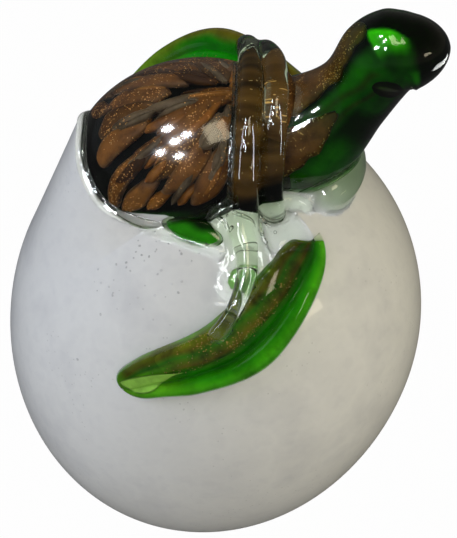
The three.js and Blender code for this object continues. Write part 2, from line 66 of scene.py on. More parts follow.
NECK_HALF = 7.2
NECK_FLARE = 7.2
NECK_REACH = 19.5
NECK_COAT = 1.0
HEAD_LENGTH = 17.0
HEAD_HALF = 7.3
HEAD_RISE = 12.4
EYE_LENGTH = 5.4

FLIPPER_LENGTH = 44.0
FLIPPER_BULGE = 13.5
FLIPPER_HOLLOW = 1.2
FLIPPER_THICKNESS = 5.2
FLIPPER_SHOULDER_WIDTH = 6.4
FLIPPER_TIP_WIDTH = 3.2
FLIPPER_COAT = 1.0
RIGHT_FLIPPER_LONGITUDE = -92.0
RIGHT_FLIPPER_LATITUDE = 33.0
RIGHT_FLIPPER_SWEEP = 40.5
LEFT_FLIPPER_CLEARANCE = 8.5
LEFT_FLIPPER_ADVANCE = 4.4
LEFT_FLIPPER_LIFT = 8.0
LEFT_FLIPPER_WAY = (-0.9, 0.71, -0.09)
LEFT_FLIPPER_FACE = (-0.2, -0.4, 0.93)

STRAP_THICKNESS = 4.2
STRAP_STATION = 10.8
STRAP_RAKE = 4.2
RIM_RADIUS = 0.55
COLLAR_THICKNESS = 1.0
COLLAR_RISE = 43.0

GLASS_STEP = 0.36
FILLET = 1.5
BURIED = 0.4

# Directions, curves and shares


def unit(v):
    v = np.asarray(v, float)
    return v / np.linalg.norm(v, axis=-1, keepdims=True)


def smooth_step(low, high, value):
    w = np.clip((value - low) / (high - low), 0, 1)
    return w * w * (3 - 2 * w)


def band(value, low, rise, fall, high):
    """1 from the rise to the fall, easing to 0 at the low and the high end."""
    return smooth_step(low, rise, value) * smooth_step(high, fall, value)


def laid_over(tint, colour, share):
    return tint + (np.asarray(colour) - tint) * share[:, None]


def spokes(count):
    """Angles of a full turn."""
    return np.linspace(0, 2 * np.pi, count, endpoint=False)


def eased(count):
    """Shares from 0 to 1, closer together at both ends."""
    return (1 - np.cos(np.linspace(0, np.pi, count))) / 2


def wrapped(turn):
    """Angles brought between minus and plus half a turn."""
    return np.angle(np.exp(1j * turn))


def ball_direction(level, turn):
    flat = np.cos(level)
    return np.stack(np.broadcast_arrays(flat * np.cos(turn), flat * np.sin(turn), np.sin(level)), -1)


def ball_rings(around, down):
    """Rings of directions from the lowest to the highest, without the poles."""
    levels = np.radians(np.linspace(-90, 90, down + 1)[1:-1])
    return [ball_direction(level, spokes(around)) for level in levels]


def catmull_rom(points, shares):
    """Points at shares of a uniform Catmull-Rom curve."""
    p = np.asarray(points, float)
    p = np.vstack([2 * p[:1] - p[1:2], p, 2 * p[-1:] - p[-2:-1]])
    spans = len(p) - 3
    place = np.clip(np.asarray(shares, float), 0, 1) * spans
    i = np.minimum(place.astype(int), spans - 1)
    w = (place - i)[..., None]
    a, b, c, d = p[i], p[i + 1], p[i + 2], p[i + 3]
    return (
        b
        + 0.5 * (c - a) * w
        + (a - 2.5 * b + 2 * c - 0.5 * d) * w**2
        + (1.5 * (b - c) + 0.5 * (d - a)) * w**3
    )


def even_path(points, count):
    """A smooth path through points, as equally spaced places."""
    fine = catmull_rom(points, np.linspace(0, 1, 40 * len(points)))
    along = np.concatenate([[0], np.cumsum(np.linalg.norm(np.diff(fine, axis=0), axis=1))])
    stops = np.linspace(0, along[-1], count)
    return np.stack([np.interp(stops, along, fine[:, k]) for k in range(3)], 1)


# Frames


class Frame:
    """A place and three axes, in the part's frame."""

    def __init__(self, origin, axes):
        self.origin = np.array(origin, float)
        self.axes = np.array(axes, float)

    def world(self, points):
        return np.asarray(points, float) @ self.axes + self.origin

    def local(self, points):
        return (np.asarray(points, float) - self.origin) @ self.axes.T

    def turn(self, direction):
        return np.asarray(direction, float) @ self.axes


def tilted(degrees):
    angle = math.radians(degrees)
    return [
        (math.cos(angle), 0, -math.sin(angle)),
        (0, 1, 0),
        (math.sin(angle), 0, math.cos(angle)),
    ]


def posed(point, along, up):
    x = unit(along)
    y = unit(np.cross(up, x))
    return Frame(point, [x, y, np.cross(x, y)])


lean_sine = math.sin(math.radians(EGG_LEAN))
lean_cosine = math.cos(math.radians(EGG_LEAN))
wide_term = 1 / EGG_RADIUS**2
blunt_term = 1 / EGG_BLUNT_END**2
narrow_term = 1 / EGG_NARROW_END**2
foot_offset = (EGG_CENTRE_HEIGHT * lean_sine * lean_cosine * (wide_term - blunt_term)) / (
    lean_cosine**2 * wide_term + lean_sine**2 * blunt_term
)
crown_height = EGG_CENTRE_HEIGHT + EGG_NARROW_END * lean_cosine
egg = Frame((foot_offset, 0, EGG_CENTRE_HEIGHT), tilted(EGG_LEAN))
turtle = Frame((foot_offset - BODY_SETBACK, 0, crown_height - BODY_SINK), tilted(-BODY_PITCH))


def egg_spot(x, y, lift):
    """A place over the egg's upper side."""
    ahead = x - foot_offset
    a = lean_sine**2 * wide_term + lean_cosine**2 * narrow_term
    b = 2 * ahead * lean_sine * lean_cosine * (narrow_term - wide_term)
    c = ahead**2 * (lean_cosine**2 * wide_term + lean_sine**2 * narrow_term) + y**2 * wide_term - 1
    top = EGG_CENTRE_HEIGHT + (-b + math.sqrt(b**2 - 4 * a * c)) / (2 * a)
    return np.array([x, y, top + lift])


def egg_normal(local):
    """The way out of the egg's upper half at a place in its frame."""
    return unit(egg.turn(local * [wide_term, wide_term, narrow_term]))


longitude = math.radians(RIGHT_FLIPPER_LONGITUDE)
latitude = math.radians(RIGHT_FLIPPER_LATITUDE)
sweep = math.radians(RIGHT_FLIPPER_SWEEP)
on_egg = ball_direction(latitude, longitude) * [EGG_RADIUS, EGG_RADIUS, EGG_NARROW_END]
right_face = egg_normal(on_egg)
level_back = unit(np.cross(right_face, (0, 0, 1)))
downhill = unit(np.cross(right_face, level_back))
right_way = level_back * math.cos(sweep) + downhill * math.sin(sweep)
right_flipper = posed(egg.world(on_egg), right_way, right_face)
left_x, left_y, _ = turtle.world((LEFT_FLIPPER_ADVANCE, BODY_HALF[1] + LEFT_FLIPPER_CLEARANCE, 0))
left_middle = egg_spot(left_x, left_y, LEFT_FLIPPER_LIFT)
left_flipper = posed(left_middle, turtle.turn(LEFT_FLIPPER_WAY), turtle.turn(LEFT_FLIPPER_FACE))

# Meshes


def piece(name, points, faces, material, slot, nodes=(), tint=None, voids=()):
    """A smooth mesh piece from points in millimetres, riding on the part's one body."""
    mesh = bpy.data.meshes.new(name)
    mesh.from_pydata((np.asarray(points) * MM).tolist(), [], [tuple(map(int, f)) for f in faces])
    if tint is not None:
        layer = mesh.color_attributes.new("tint", "FLOAT_COLOR", "POINT")
        colours = np.broadcast_to(tint, (len(points), 3))
        layer.data.foreach_set("color", np.column_stack([colours, np.ones(len(points))]).ravel())
    solid = bmesh.new()
    solid.from_mesh(mesh)
    bmesh.ops.remove_doubles(solid, verts=solid.verts, dist=1e-7)
    bmesh.ops.recalc_face_normals(solid, faces=solid.faces)
    for void_points, void_faces in voids:
        corners = [solid.verts.new(Vector(v) * MM) for v in void_points]
        skin = [solid.faces.new([corners[i] for i in face]) for face in void_faces]
        bmesh.ops.recalc_face_normals(solid, faces=skin)
        bmesh.ops.reverse_faces(solid, faces=skin)
    solid.to_mesh(mesh)
    solid.free()
    mesh.shade_smooth()
    mesh.materials.append(material)
    made = bpy.data.objects.new(name, mesh)
    bpy.context.scene.collection.objects.link(made)
    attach(made, "root")
    if nodes:
        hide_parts(*nodes)
    return made


def loft(rings):
    """Points and faces of a closed skin through rings of equally many points."""
    rings = np.asarray(rings, float)
    count, sides = rings.shape[:2]
    points = rings.reshape(-1, 3)
    i = np.arange(sides)
    j = (i + 1) % sides
    faces = []
    for r in range(count - 1):
        a, b = r * sides, (r + 1) * sides
        faces += np.stack([a + i, a + j, b + j, b + i], 1).tolist()
    first, last = len(points), len(points) + 1
    points = np.vstack([points, rings[0].mean(0), rings[-1].mean(0)])
    faces += [[first, b, a] for a, b in zip(i, j)]
    top = (count - 1) * sides
    faces += [[last, top + a, top + b] for a, b in zip(i, j)]
    return points, faces


def ball(centre, axes, halves, around, down):
    """Points and faces of an ellipsoid with given axes."""
    points, faces = loft([ring * halves @ axes + centre for ring in ball_rings(around, down)])
    points[-2] = centre - halves[2] * axes[2]
    points[-1] = centre + halves[2] * axes[2]
    return points, faces


def merged(parts):
    """Several lists of points and faces as one."""
    points, faces, start = [], [], 0
    for some_points, some_faces in parts:
        points.append(some_points)
        faces += [[start + i for i in face] for face in some_faces]
        start += len(some_points)
    return np.vstack(points), faces


# Materials

WHITE = (1.0, 1.0, 1.0)
GLASS_IOR = 1.5


def grey(level):
    return (level, level, level)


class Graph:
    """A node tree, with short ways to add to it."""

    def __init__(self, tree):
        self.nodes = tree.nodes
        self.links = tree.links

    def put(self, value, socket):
        """Sets a socket to a value, or links it to another node's output."""
        if isinstance(value, bpy.types.NodeSocket):
            self.links.new(value, socket)
        elif socket.type == "RGBA":
            socket.default_value = (*value, 1.0)
        else:
            socket.default_value = value

    def add(self, kind, **inputs):
        node = self.nodes.new(f"ShaderNode{kind}")
        for name, value in inputs.items():
            self.put(value, node.inputs[name.replace("_", " ")])
        return node

    def ramp(self, factor, *stops):
        node = self.add("ValToRGB", Fac=factor)
        elements = node.color_ramp.elements
        while len(elements) < len(stops):
            elements.new(0.5)
        for element, (at, colour) in zip(elements, stops):
            element.position = at
            element.color = (*colour, 1.0)
        return node.outputs["Color"]

    def math(self, operation, first, second):
        node = self.add("Math")
        node.operation = operation
        self.put(first, node.inputs[0])
        self.put(second, node.inputs[1])
        return node.outputs["Value"]

    def mix(self, factor, first, second, blend_type="MIX"):
        node = self.add("Mix")
        node.data_type = "RGBA"
        node.blend_type = blend_type
        sockets = [node.inputs["Factor"], *(s for s in node.inputs if s.type == "RGBA")]
        for value, socket in zip((factor, first, second), sockets):
            self.put(value, socket)
        return next(s for s in node.outputs if s.type == "RGBA")

    def multiply(self, first, second):
        return self.mix(1.0, first, second, "MULTIPLY")

    def mix_shaders(self, share, first, second):
        node = self.add("MixShader")
        for value, socket in zip((share, first.outputs[0], second.outputs[0]), node.inputs):
            self.put(value, socket)
        return node.outputs[0]


class Shader(Graph):
    """A material around one Principled shader."""

    def __init__(self, name):
        self.material = bpy.data.materials.new(name)
        self.material.use_nodes = True
        super().__init__(self.material.node_tree)
        self.place = self.add("TexCoord").outputs["Object"]

    def set(self, **values):
        for name, value in values.items():
            self.put(value, self.nodes["Principled BSDF"].inputs[name.replace("_", " ")])

    def noise(self, scale, detail=3.0, rough=0.5):
        node = self.add("TexNoise", Vector=self.place, Scale=scale, Detail=detail, Roughness=rough)
        return node.outputs["Fac"]

    def cells(self, scale):
        return self.add("TexVoronoi", Vector=self.place, Scale=scale).outputs

    def tint(self):
        node = self.add("Attribute")
        node.attribute_name = "tint"
        return node.outputs["Color"]

    def bump(self, height, strength, distance):
        node = self.add("Bump", Height=height, Strength=strength, Distance=distance)
        self.set(Normal=node.outputs["Normal"])

    def absorb(self, colour, density):
        node = self.add("VolumeAbsorption", Color=colour, Density=density)
        self.put(node.outputs["Volume"], self.nodes["Material Output"].inputs["Volume"])


def glass(name, roughness, passed=None, density=0.0):
    """Clear glass, or glass that passes one colour where a density is given."""
    shader = Shader(name)
    shader.set(Base_Color=WHITE, Roughness=roughness, IOR=GLASS_IOR, Transmission_Weight=1.0)
    if passed:
        shader.absorb(passed, density)
    shader.bump(shader.noise(60, 1.0), 0.012, 0.0004)
    return shader.material


def opal_glass():
    """Cloudy white glass with a fine grain and rare grey specks."""
    shader = Shader("opal_white_glass")
    clouds = (0.32, (0.78, 0.79, 0.8)), (0.5, (0.91, 0.92, 0.91)), (0.7, (0.85, 0.86, 0.86))
    grains = (0.34, (0.965, 0.965, 0.97)), (0.5, WHITE), (0.68, grey(0.985))
    cloud = shader.ramp(shader.noise(42, 4.0, 0.62), *clouds)
    grain = shader.ramp(shader.noise(420, 2.0), *grains)
    small = shader.math("LESS_THAN", shader.cells(900)["Distance"], 0.13)
    rare = shader.math("GREATER_THAN", shader.noise(70, 1.0), 0.6)
    speck = shader.math("MULTIPLY", shader.math("MULTIPLY", small, rare), 0.4)
    shader.set(Base_Color=shader.mix(speck, shader.multiply(cloud, grain), (0.5, 0.51, 0.5)))
    shader.set(Roughness=0.3, IOR=GLASS_IOR, Coat_Weight=0.5, Coat_Roughness=0.04)
    shader.bump(shader.noise(150, 2.0), 0.04, 0.0006)
    return shader.material


def tinted_glass():
    """Coloured glass inside clear glass; the piece's own tint gives the colour."""
    shader = Shader("dark_green_glass")
    flow = shader.ramp(shader.noise(220, 4.0, 0.6), (0.3, grey(0.45)), (0.7, WHITE))
    shader.set(Base_Color=shader.multiply(shader.tint(), flow), Roughness=0.4, Specular_IOR_Level=0.0)
    return shader.material


def copper_fleck_glass():
    """Brown glass full of copper crystals; the piece's own tint gives the brown."""
    shader = Shader("copper_fleck_glass")
    flows = (0.28, (0.3, 0.27, 0.25)), (0.5, grey(0.85)), (0.75, (1.3, 1.3, 1.25))
    brown = shader.multiply(shader.tint(), shader.ramp(shader.noise(330, 4.0, 0.62), *flows))
    number = shader.add("SeparateColor", Color=shader.cells(6500)["Color"]).outputs["Red"]
    rich = shader.ramp(shader.noise(200, 2.0), (0.46, grey(0.999)), (0.7, grey(0.9)))
    fleck = shader.math("GREATER_THAN", number, rich)
    shader.set(Base_Color=shader.mix(fleck, brown, (0.85, 0.45, 0.13)))
    shader.set(Metallic=shader.math("MULTIPLY", fleck, 0.6), Roughness=0.35, Specular_IOR_Level=0.1)
    return shader.material


def black_glass():
    shader = Shader("black_glass")
    shades = (0.3, (0.003, 0.002, 0.002)), (0.7, (0.008, 0.005, 0.006))
    shader.set(Base_Color=shader.ramp(shader.noise(400), *shades), Roughness=0.12, Specular_IOR_Level=0.3)
    return shader.material


def fleck_metal():
    shader = Shader("copper_flecks")
    shades = (0.35, (0.9, 0.46, 0.12)), (0.65, (1.0, 0.76, 0.34))
    shader.set(Base_Color=shader.ramp(shader.noise(900), *shades), Metallic=0.7, Roughness=0.3)
    return shader.material


CLEAR = glass("clear_glass", 0.05, (0.24, 0.48, 0.0), 85.0)
DOME_CLEAR = glass("clear_glass_dome", 0.12)
GREEN_NECK = glass("green_glass_neck", 0.08, (0.42, 0.88, 0.0), 900.0)
GREEN_FLIPPER = glass("green_glass_flipper", 0.08, (0.42, 0.88, 0.0), 480.0)
OPAL = opal_glass()
TINTED = tinted_glass()
COPPER = copper_fleck_glass()
BLACK = black_glass()
FLECKS = fleck_metal()

# The egg


def egg_skin():
    rings = []
    for ring in ball_rings(180, 120):
        end = EGG_BLUNT_END if ring[0, 2] < 0 else EGG_NARROW_END
        rings.append(ring * (EGG_RADIUS, EGG_RADIUS, end))
    points, faces = loft(rings)
    points[-2] = (0, 0, -EGG_BLUNT_END)
    points[-1] = (0, 0, EGG_NARROW_END)
    return egg.world(points), faces


def ground_flat(made):
    """Grinds off what lies below the table and eases the foot's edge."""
    solid = bmesh.new()
    solid.from_mesh(made.data)
    everything = solid.verts[:] + solid.edges[:] + solid.faces[:]
    bmesh.ops.bisect_plane(
        solid, geom=everything, plane_co=(0, 0, 0), plane_no=(0, 0, 1), clear_inner=True, dist=1e-6
    )
    rim = [e for e in solid.edges if e.is_boundary]
    foot = bmesh.ops.contextual_create(solid, geom=rim)["faces"]
    foot_edges = [e for f in foot for e in f.edges]
    bmesh.ops.bevel(
        solid, geom=foot_edges, offset=FOOT_BEVEL * MM, segments=3, profile=0.5, affect="EDGES"
    )
    bmesh.ops.recalc_face_normals(solid, faces=solid.faces)
    solid.to_mesh(made.data)
    solid.free()
    made.data.shade_smooth()


egg_piece = piece("egg_opal", *egg_skin(), OPAL, "opal_white_glass", ["egg_core", "egg_casing"])
ground_flat(egg_piece)


def ellipsoid_share(local, halves):
    """1 on an ellipsoid's skin, more outside it."""
    return np.sqrt(sum((c / h) ** 2 for c, h in zip(local, halves)))


def ellipsoid_distance(local, halves):
    k = ellipsoid_share(local, halves)
    g = np.sqrt(sum((c / h**2) ** 2 for c, h in zip(local, halves)))
    return k * (k - 1) / np.maximum(g, 1e-6)


def in_egg(points):
    """Places in the egg's frame, and the half sizes of the end that each lies in."""
    x, y, z = egg.local(points).T
    return (x, y, z), (EGG_RADIUS, EGG_RADIUS, np.where(z < 0, EGG_BLUNT_END, EGG_NARROW_END))


# The body

CHIP_BED = SHELL_CASING + CHIP_THICKNESS + 2 * SEAM
BOWL_INSET = 0.15
SHOULDER_INSET = 0.02
STRAP_SLANT = 0.387
SHOULDER_LINE = STRAP_STATION - 2.2
TAIL_EDGE = -0.61
CORE_BLACK = np.array((0.003, 0.004, 0.003))
# A painted glow: the green laid on the core where it lies in the egg
PAINTED_GLOW_GREEN = (0.02, 0.16, 0.006)
SHOULDER_BROWN = np.array((0.11, 0.052, 0.014))
SHOULDER_FLECKS = 90
FLECK_TILT = 0.35
FLECK_WIDTH = 0.7
FLECK_HALF_THICKNESS = 0.05


def body_point(direction, grow):
    """The body's skin in a direction of its unit ball, grown by an amount."""
    return turtle.world(np.asarray(direction) * (BODY_HALF + np.asarray(grow)[..., None]))


def body_skin(inset):
    return loft([body_point(ring, inset(ring)) for ring in ball_rings(160, 110)])


def body_normals(points):
    return unit(turtle.turn(turtle.local(points) / BODY_HALF**2))


def strap_station(points):
    """How far ahead a place in the turtle's frame is, along planes that lean with the straps."""
    return points[..., 0] - STRAP_SLANT * points[..., 2]


def core_inset(direction):
    """The dark core fills the bowl, the shoulders and the tail, and steps in under the chips."""
    edge = -SHELL_EDGE_DROP / BODY_HALF[2]
    dome = smooth_step(edge - 0.05, edge + 0.1, direction[:, 2])
    shoulders = smooth_step(SHOULDER_LINE - 0.8, SHOULDER_LINE, strap_station(direction * BODY_HALF))
    tail = smooth_step(TAIL_EDGE + 0.02, TAIL_EDGE - 0.12, direction[:, 0])
    depth = BOWL_INSET + (CHIP_BED - BOWL_INSET) * dome * (1 - 0.75 * tail)
    return -(depth + (SHOULDER_INSET - depth) * shoulders)


def core_tint(points):
    """Black, with a painted green glow inside the egg and streaky brown shoulders."""
    local = turtle.local(points)
    # Painted light: green laid on the black core inside the egg and at its skin, as a glow
    tint = laid_over(CORE_BLACK, PAINTED_GLOW_GREEN, smooth_step(1.012, 0.985, ellipsoid_share(*in_egg(points))))
    shoulders = smooth_step(SHOULDER_LINE - 0.5, SHOULDER_LINE + 0.2, strap_station(local))
    angle = np.arctan2(local[:, 1], local[:, 2])
    streaks = 0.95 + 0.3 * np.sin(13 * angle) + 0.25 * np.sin(31 * angle + local[:, 0])
    return laid_over(tint, SHOULDER_BROWN * streaks[:, None], shoulders * smooth_step(-1.5, 0.5, local[:, 2]))


def flecks(name, spots, outward, least, most):
    """Loose copper crystals: thin bright plates lying roughly along a surface."""
    plates = []
    for spot, normal, size in zip(spots, outward, rng.uniform(least, most, len(spots))):
        normal = unit(normal + rng.normal(0, FLECK_TILT, 3))
        along = unit(np.cross(normal, rng.normal(0, 1, 3)))
        aside = np.cross(normal, along)
        corners = [along * size, aside * size * FLECK_WIDTH, normal * FLECK_HALF_THICKNESS]
        points = np.array([spot + sign * c for c in corners for sign in (1, -1)])
        faces = [[a, b, c] for a in (0, 1) for b in (2, 3) for c in (4, 5)]
        plates.append((points, faces))
    piece(name, *merged(plates), FLECKS, "copper_fleck_glass")


core_points, core_faces = body_skin(core_inset)
core_colours = core_tint(core_points)
piece("body_dark_core", core_points, core_faces, TINTED, "dark_green_glass", ["body_core"], tint=core_colours)

core_local = turtle.local(core_points)
beneath = strap_station(core_local) - SHOULDER_LINE
on_shoulders = (beneath > 0.6) & (beneath < 9) & (core_local[:, 2] > 1) & (core_local[:, 1] < 6)
shoulder_spots = core_points[on_shoulders]
shoulder_spots = shoulder_spots[rng.choice(len(shoulder_spots), SHOULDER_FLECKS)]
shoulder_spots += rng.normal(0, 0.3, shoulder_spots.shape)
shoulder_out = body_normals(shoulder_spots)
flecks("shoulder_flecks", shoulder_spots + shoulder_out * 0.15, shoulder_out, 0.07, 0.16)

dome_points, dome_faces = body_skin(lambda direction: np.zeros(len(direction)))
dome_local = turtle.local(dome_points)
dome_local[:, 0] -= np.maximum(strap_station(dome_local) - SHOULDER_LINE - 0.5, 0)
piece("shell_dome", turtle.world(dome_local), dome_faces, DOME_CLEAR, "clear_glass", ["shell_casing"])

# Copper-fleck chips under the dome

# Rings of chips round a pole ahead of the shell: where each starts and stops in degrees from the pole, the
# chips that a full turn would hold, and its shift in chips
FAN_RINGS = [(12, 50, 12, 0.0), (50, 92, 19, 0.5), (92, 132, 18, 0.0)]
TAIL_SQUEEZE = 0.16
SHELL_LOW = 0.03
SHELL_SQUEEZE = 0.12
CHIP_SPOKES = 48
CHIP_SHARES = np.append(np.linspace(0.1, 1, 10), [1.0, 0.5])
CROWN_RINGS = 8
CHIP_WIDTHS = (0.7, 1.15)
CHIP_LENGTHS = (1.0, 1.6)
CHIP_LIFTS = (0.0, 0.9)
CHIP_SHIFT = 0.45
CHIP_BEND = 0.9
CHIP_LOWEST = -0.05
CHIP_FOREMOST = 0.72
CHIP_EDGE = (0.07, 0.054, 0.035)
CHIP_BROWNS = np.array(
    [(0.11, 0.041, 0.006), (0.145, 0.055, 0.009), (0.17, 0.068, 0.013), (0.085, 0.034, 0.005)]
)
SHARD_TONES = np.array([(0.2, 0.075, 0.012), (0.26, 0.11, 0.02), (0.05, 0.02, 0.005), (0.11, 0.08, 0.045)])
SHARD_COUNT = 70
SHARD_LENGTHS = (7, 19)
SHARD_WIDTHS = (2.2, 4.6)
SHARD_LIFTS = (-0.2, 1.0)
SHARD_LOWEST = 0.12
SHARD_REARMOST = TAIL_EDGE + 0.16
SHARD_FOREMOST = 0.66
SHELL_FLECKS = 240
FLECK_CLUSTERS = 12

fan_pole = unit((0.58, -0.57, 0.56))
fan_side = unit(np.cross((0, 0, 1), fan_pole))
fan_up = np.cross(fan_pole, fan_side)
streak_pole = unit((0.58, -0.12, 0.8))


def fan_direction(away, turn):
    away, turn = np.asarray(away)[..., None], np.asarray(turn)[..., None]
    aside = fan_side * np.sin(away) * np.cos(turn) + fan_up * np.sin(away) * np.sin(turn)
    return fan_pole * np.cos(away) + aside


def squeezed(value, edge, width):
    """A value that is slowed down as it nears an edge, and never passes it."""
    past = np.maximum(edge + width - value, 0)
    return np.where(past > 0, edge + width * np.exp(-past / width), value)


def on_the_back(direction):
    """Draws the fan's ends in, so that it leaves the tail and the body's lower side dark."""
    x = squeezed(direction[..., 0], TAIL_EDGE, TAIL_SQUEEZE)
    z = squeezed(direction[..., 2], SHELL_LOW, SHELL_SQUEEZE)
    return unit(np.stack([x, direction[..., 1], z], -1))


def chip(middle, half_along, half_aside, lift):
    """A tongue of glass on the dark dome, long in the direction away from the streaks' pole."""
    along = unit(middle * middle.dot(streak_pole) - streak_pole)
    beside = np.cross(middle, along)
    turns = spokes(CHIP_SPOKES)
    wobble = 1 + 0.06 * np.sin(3 * turns + rng.uniform(0, 6)) + 0.05 * np.sin(5 * turns + rng.uniform(0, 6))
    bend = rng.uniform(-CHIP_BEND, CHIP_BEND)
    outline = np.abs(np.cos(turns)) ** 0.8 * np.sign(np.cos(turns))

    def ring(share, rise):
        out = share * wobble * half_along * outline
        aside = share * wobble * half_aside * np.sin(turns) + bend * half_aside * (out / half_along) ** 2
        direction = on_the_back(middle + np.tan(out)[:, None] * along + np.tan(aside)[:, None] * beside)
        return body_point(direction, np.full(CHIP_SPOKES, SEAM - CHIP_BED + lift + rise))

    rises = CHIP_THICKNESS * (0.1 + 0.9 * np.sqrt(1 - CHIP_SHARES**2))
    rises[-2:] = -SEAM
    return loft([ring(share, rise) for share, rise in zip(CHIP_SHARES, rises)])


chip_crowns = []
for start, stop, count, shift in FAN_RINGS:
    away, half_away = math.radians((start + stop) / 2), math.radians((stop - start) / 2)
    for i in range(count):
        turn = 2 * math.pi * (i + shift) / count
        reach = fan_direction(away + np.array([-0.8, 0, 0.8]) * half_away, np.full(3, turn))
        if (reach[:, 2] > CHIP_LOWEST).all() and (reach[:, 0] < CHIP_FOREMOST).all():
            half_aside = math.pi / count * rng.uniform(*CHIP_WIDTHS) * math.sin(away)
            turn += math.pi / count * rng.uniform(-CHIP_SHIFT, CHIP_SHIFT)
            lift = rng.uniform(*CHIP_LIFTS)
            half_along = half_away * rng.uniform(*CHIP_LENGTHS)
            points, faces = chip(fan_direction(away, turn), half_along, half_aside, lift)
            chip_crowns.append(points[: CROWN_RINGS * CHIP_SPOKES])
            node = f"shell_chip_{len(chip_crowns):02d}"
            tone = CHIP_BROWNS[rng.integers(len(CHIP_BROWNS))] * rng.uniform(0.85, 1.2)
            edge = smooth_step(0.6, 1.0, np.append(np.repeat(CHIP_SHARES, CHIP_SPOKES), [0.0, 0.5]))
            tint = laid_over(tone, CHIP_EDGE, edge * rng.uniform(0.3, 0.9))
            piece(f"{node}_glass", points, faces, COPPER, "copper_fleck_glass", [node], tint=tint)


def shards(count):
    """Thin splinters strewn between the chips, roughly along the fan."""
    made, tints = [], []
    while len(made) < count:
        spot = fan_direction(math.radians(rng.uniform(8, 125)), rng.uniform(0, 2 * math.pi))
        if spot[2] > SHARD_LOWEST and SHARD_REARMOST < spot[0] < SHARD_FOREMOST:
            half_along = math.radians(rng.uniform(*SHARD_LENGTHS))
            half_aside = math.radians(rng.uniform(*SHARD_WIDTHS))
            made.append(chip(spot, half_along, half_aside, rng.uniform(*SHARD_LIFTS)))
            tone = SHARD_TONES[rng.integers(len(SHARD_TONES))] * rng.uniform(0.7, 1.2)
            tints.append(np.tile(tone, (len(made[-1][0]), 1)))
    return merged(made), np.vstack(tints)


shard_skin, shard_tint = shards(SHARD_COUNT)
piece("shell_shards", *shard_skin, COPPER, "copper_fleck_glass", tint=shard_tint)

crowns = np.vstack(chip_crowns)
clusters = crowns[rng.integers(len(crowns), size=FLECK_CLUSTERS)]
nearness = np.exp(-(np.linalg.norm(crowns[:, None] - clusters, axis=2).min(1) / 3.0) ** 2) + 0.06
shell_spots = crowns[rng.choice(len(crowns), SHELL_FLECKS, replace=False, p=nearness / nearness.sum())]
shell_out = body_normals(shell_spots)
flecks("shell_flecks", shell_spots + shell_out * 0.06, shell_out, 0.06, 0.15)

# The neck and head

body_front = BODY_HALF[0]
head_middle = body_front + NECK_REACH
# Stations from the body to the beak: place ahead, place up, half width, and slope in degrees
neck_stations = np.array([
    (body_front * (1 - 2 / 3), -HEAD_RISE * 0.08, NECK_HALF + NECK_FLARE * 0.5, -1),
    (body_front, -HEAD_RISE * 0.1, NECK_HALF + NECK_FLARE * 0.42, 13),
    (body_front + NECK_REACH * 0.51, HEAD_RISE * 0.37, NECK_HALF, 36),
    (head_middle - HEAD_LENGTH * 0.2, HEAD_RISE * 0.85, NECK_HALF * 1.03, 36),
    (head_middle, HEAD_RISE * 0.955, HEAD_HALF, 12),
    (head_middle + HEAD_LENGTH * 0.124, HEAD_RISE * 0.903, HEAD_HALF * 0.952, 0),
    (head_middle + HEAD_LENGTH * 0.218, HEAD_RISE * 0.855, HEAD_HALF * 0.87, -7),
])
BEAK_ROUND = HEAD_LENGTH * 0.315
JAW_SETBACK = 0.6
NECK_SIDES = 88
NECK_RINGS = 110
BEAK_RINGS = 12


def neck_spine(t):
    flat = catmull_rom(neck_stations[:, :2], t)
    return np.stack([flat[..., 0], np.zeros_like(flat[..., 0]), flat[..., 1]], -1)


def neck_tangent(t):
    """The way that the neck points."""
    slope = np.radians(catmull_rom(neck_stations[:, 3:], t)[..., 0])
    return np.stack([np.cos(slope), np.zeros_like(slope), np.sin(slope)], -1)


def neck_point(t, turn, grow):
    """A point on the neck's skin: t from the body to the beak, turn from the nape to the right."""
    t, turn = np.broadcast_arrays(np.asarray(t, float), np.asarray(turn, float))
    tangent = neck_tangent(t)
    up = np.stack([-tangent[..., 2], np.zeros(t.shape), tangent[..., 0]], -1)
    half = catmull_rom(neck_stations[:, 2:3], t)[..., 0] + grow
    across = np.zeros(t.shape + (3,))
    across[..., 1] = -half * np.sin(turn)
    jaw = smooth_step(1.5, 2.6, np.abs(wrapped(turn))) * smooth_step(0.72, 1.0, t)
    rise = up * (half * np.cos(turn))[..., None]
    return turtle.world(neck_spine(t) + rise + across - tangent * (JAW_SETBACK * jaw)[..., None])


def neck_skin(grow, start):
    """The neck and head from a station on, grown or shrunk, with a round end, and the place of each point."""
    turn = spokes(NECK_SIDES)
    stations = np.linspace(start, 1, NECK_RINGS)
    rings = [neck_point(t, turn, grow) for t in stations]
    forward = turtle.turn(neck_tangent(np.array(1.0)))
    tip = turtle.world(neck_spine(np.array(1.0)))
    last, before = neck_stations[-1], neck_stations[-2]
    narrowing = 2 * (before[2] - last[2]) / (last[0] - before[0]) * BEAK_ROUND / last[2]
    for reach in np.sin(np.radians(np.linspace(9, 88, BEAK_RINGS))):
        width = math.sqrt(1 - narrowing * reach - (1 - narrowing) * reach**2)
        rings.append(tip + (rings[NECK_RINGS - 1] - tip) * width + forward * (BEAK_ROUND + grow) * reach)
    points, faces = loft(rings)
    along = np.append(np.repeat(np.append(stations, np.ones(BEAK_RINGS)), NECK_SIDES), [start, 1.0])
    around = np.append(np.tile(turn, NECK_RINGS + BEAK_RINGS), [0.0, 0.0])
    return points, faces, along, np.degrees(wrapped(around))


neck_points, neck_faces, *_ = neck_skin(0.0, 0.0)
head_piece = piece(
    "neck_and_head_glass", neck_points, neck_faces, GREEN_NECK, "green_glass", ["neck_and_head"]
)

HEART_DEPTH = 1.7
NECK_START = 0.03
HEART_DARK = np.array((0.002, 0.005, 0.002))
HEART_DEEP = np.array((0.03, 0.125, 0.006))
HEART_BRIGHT = np.array((0.26, 1.0, 0.04))
HEART_RUST = (0.075, 0.05, 0.012)


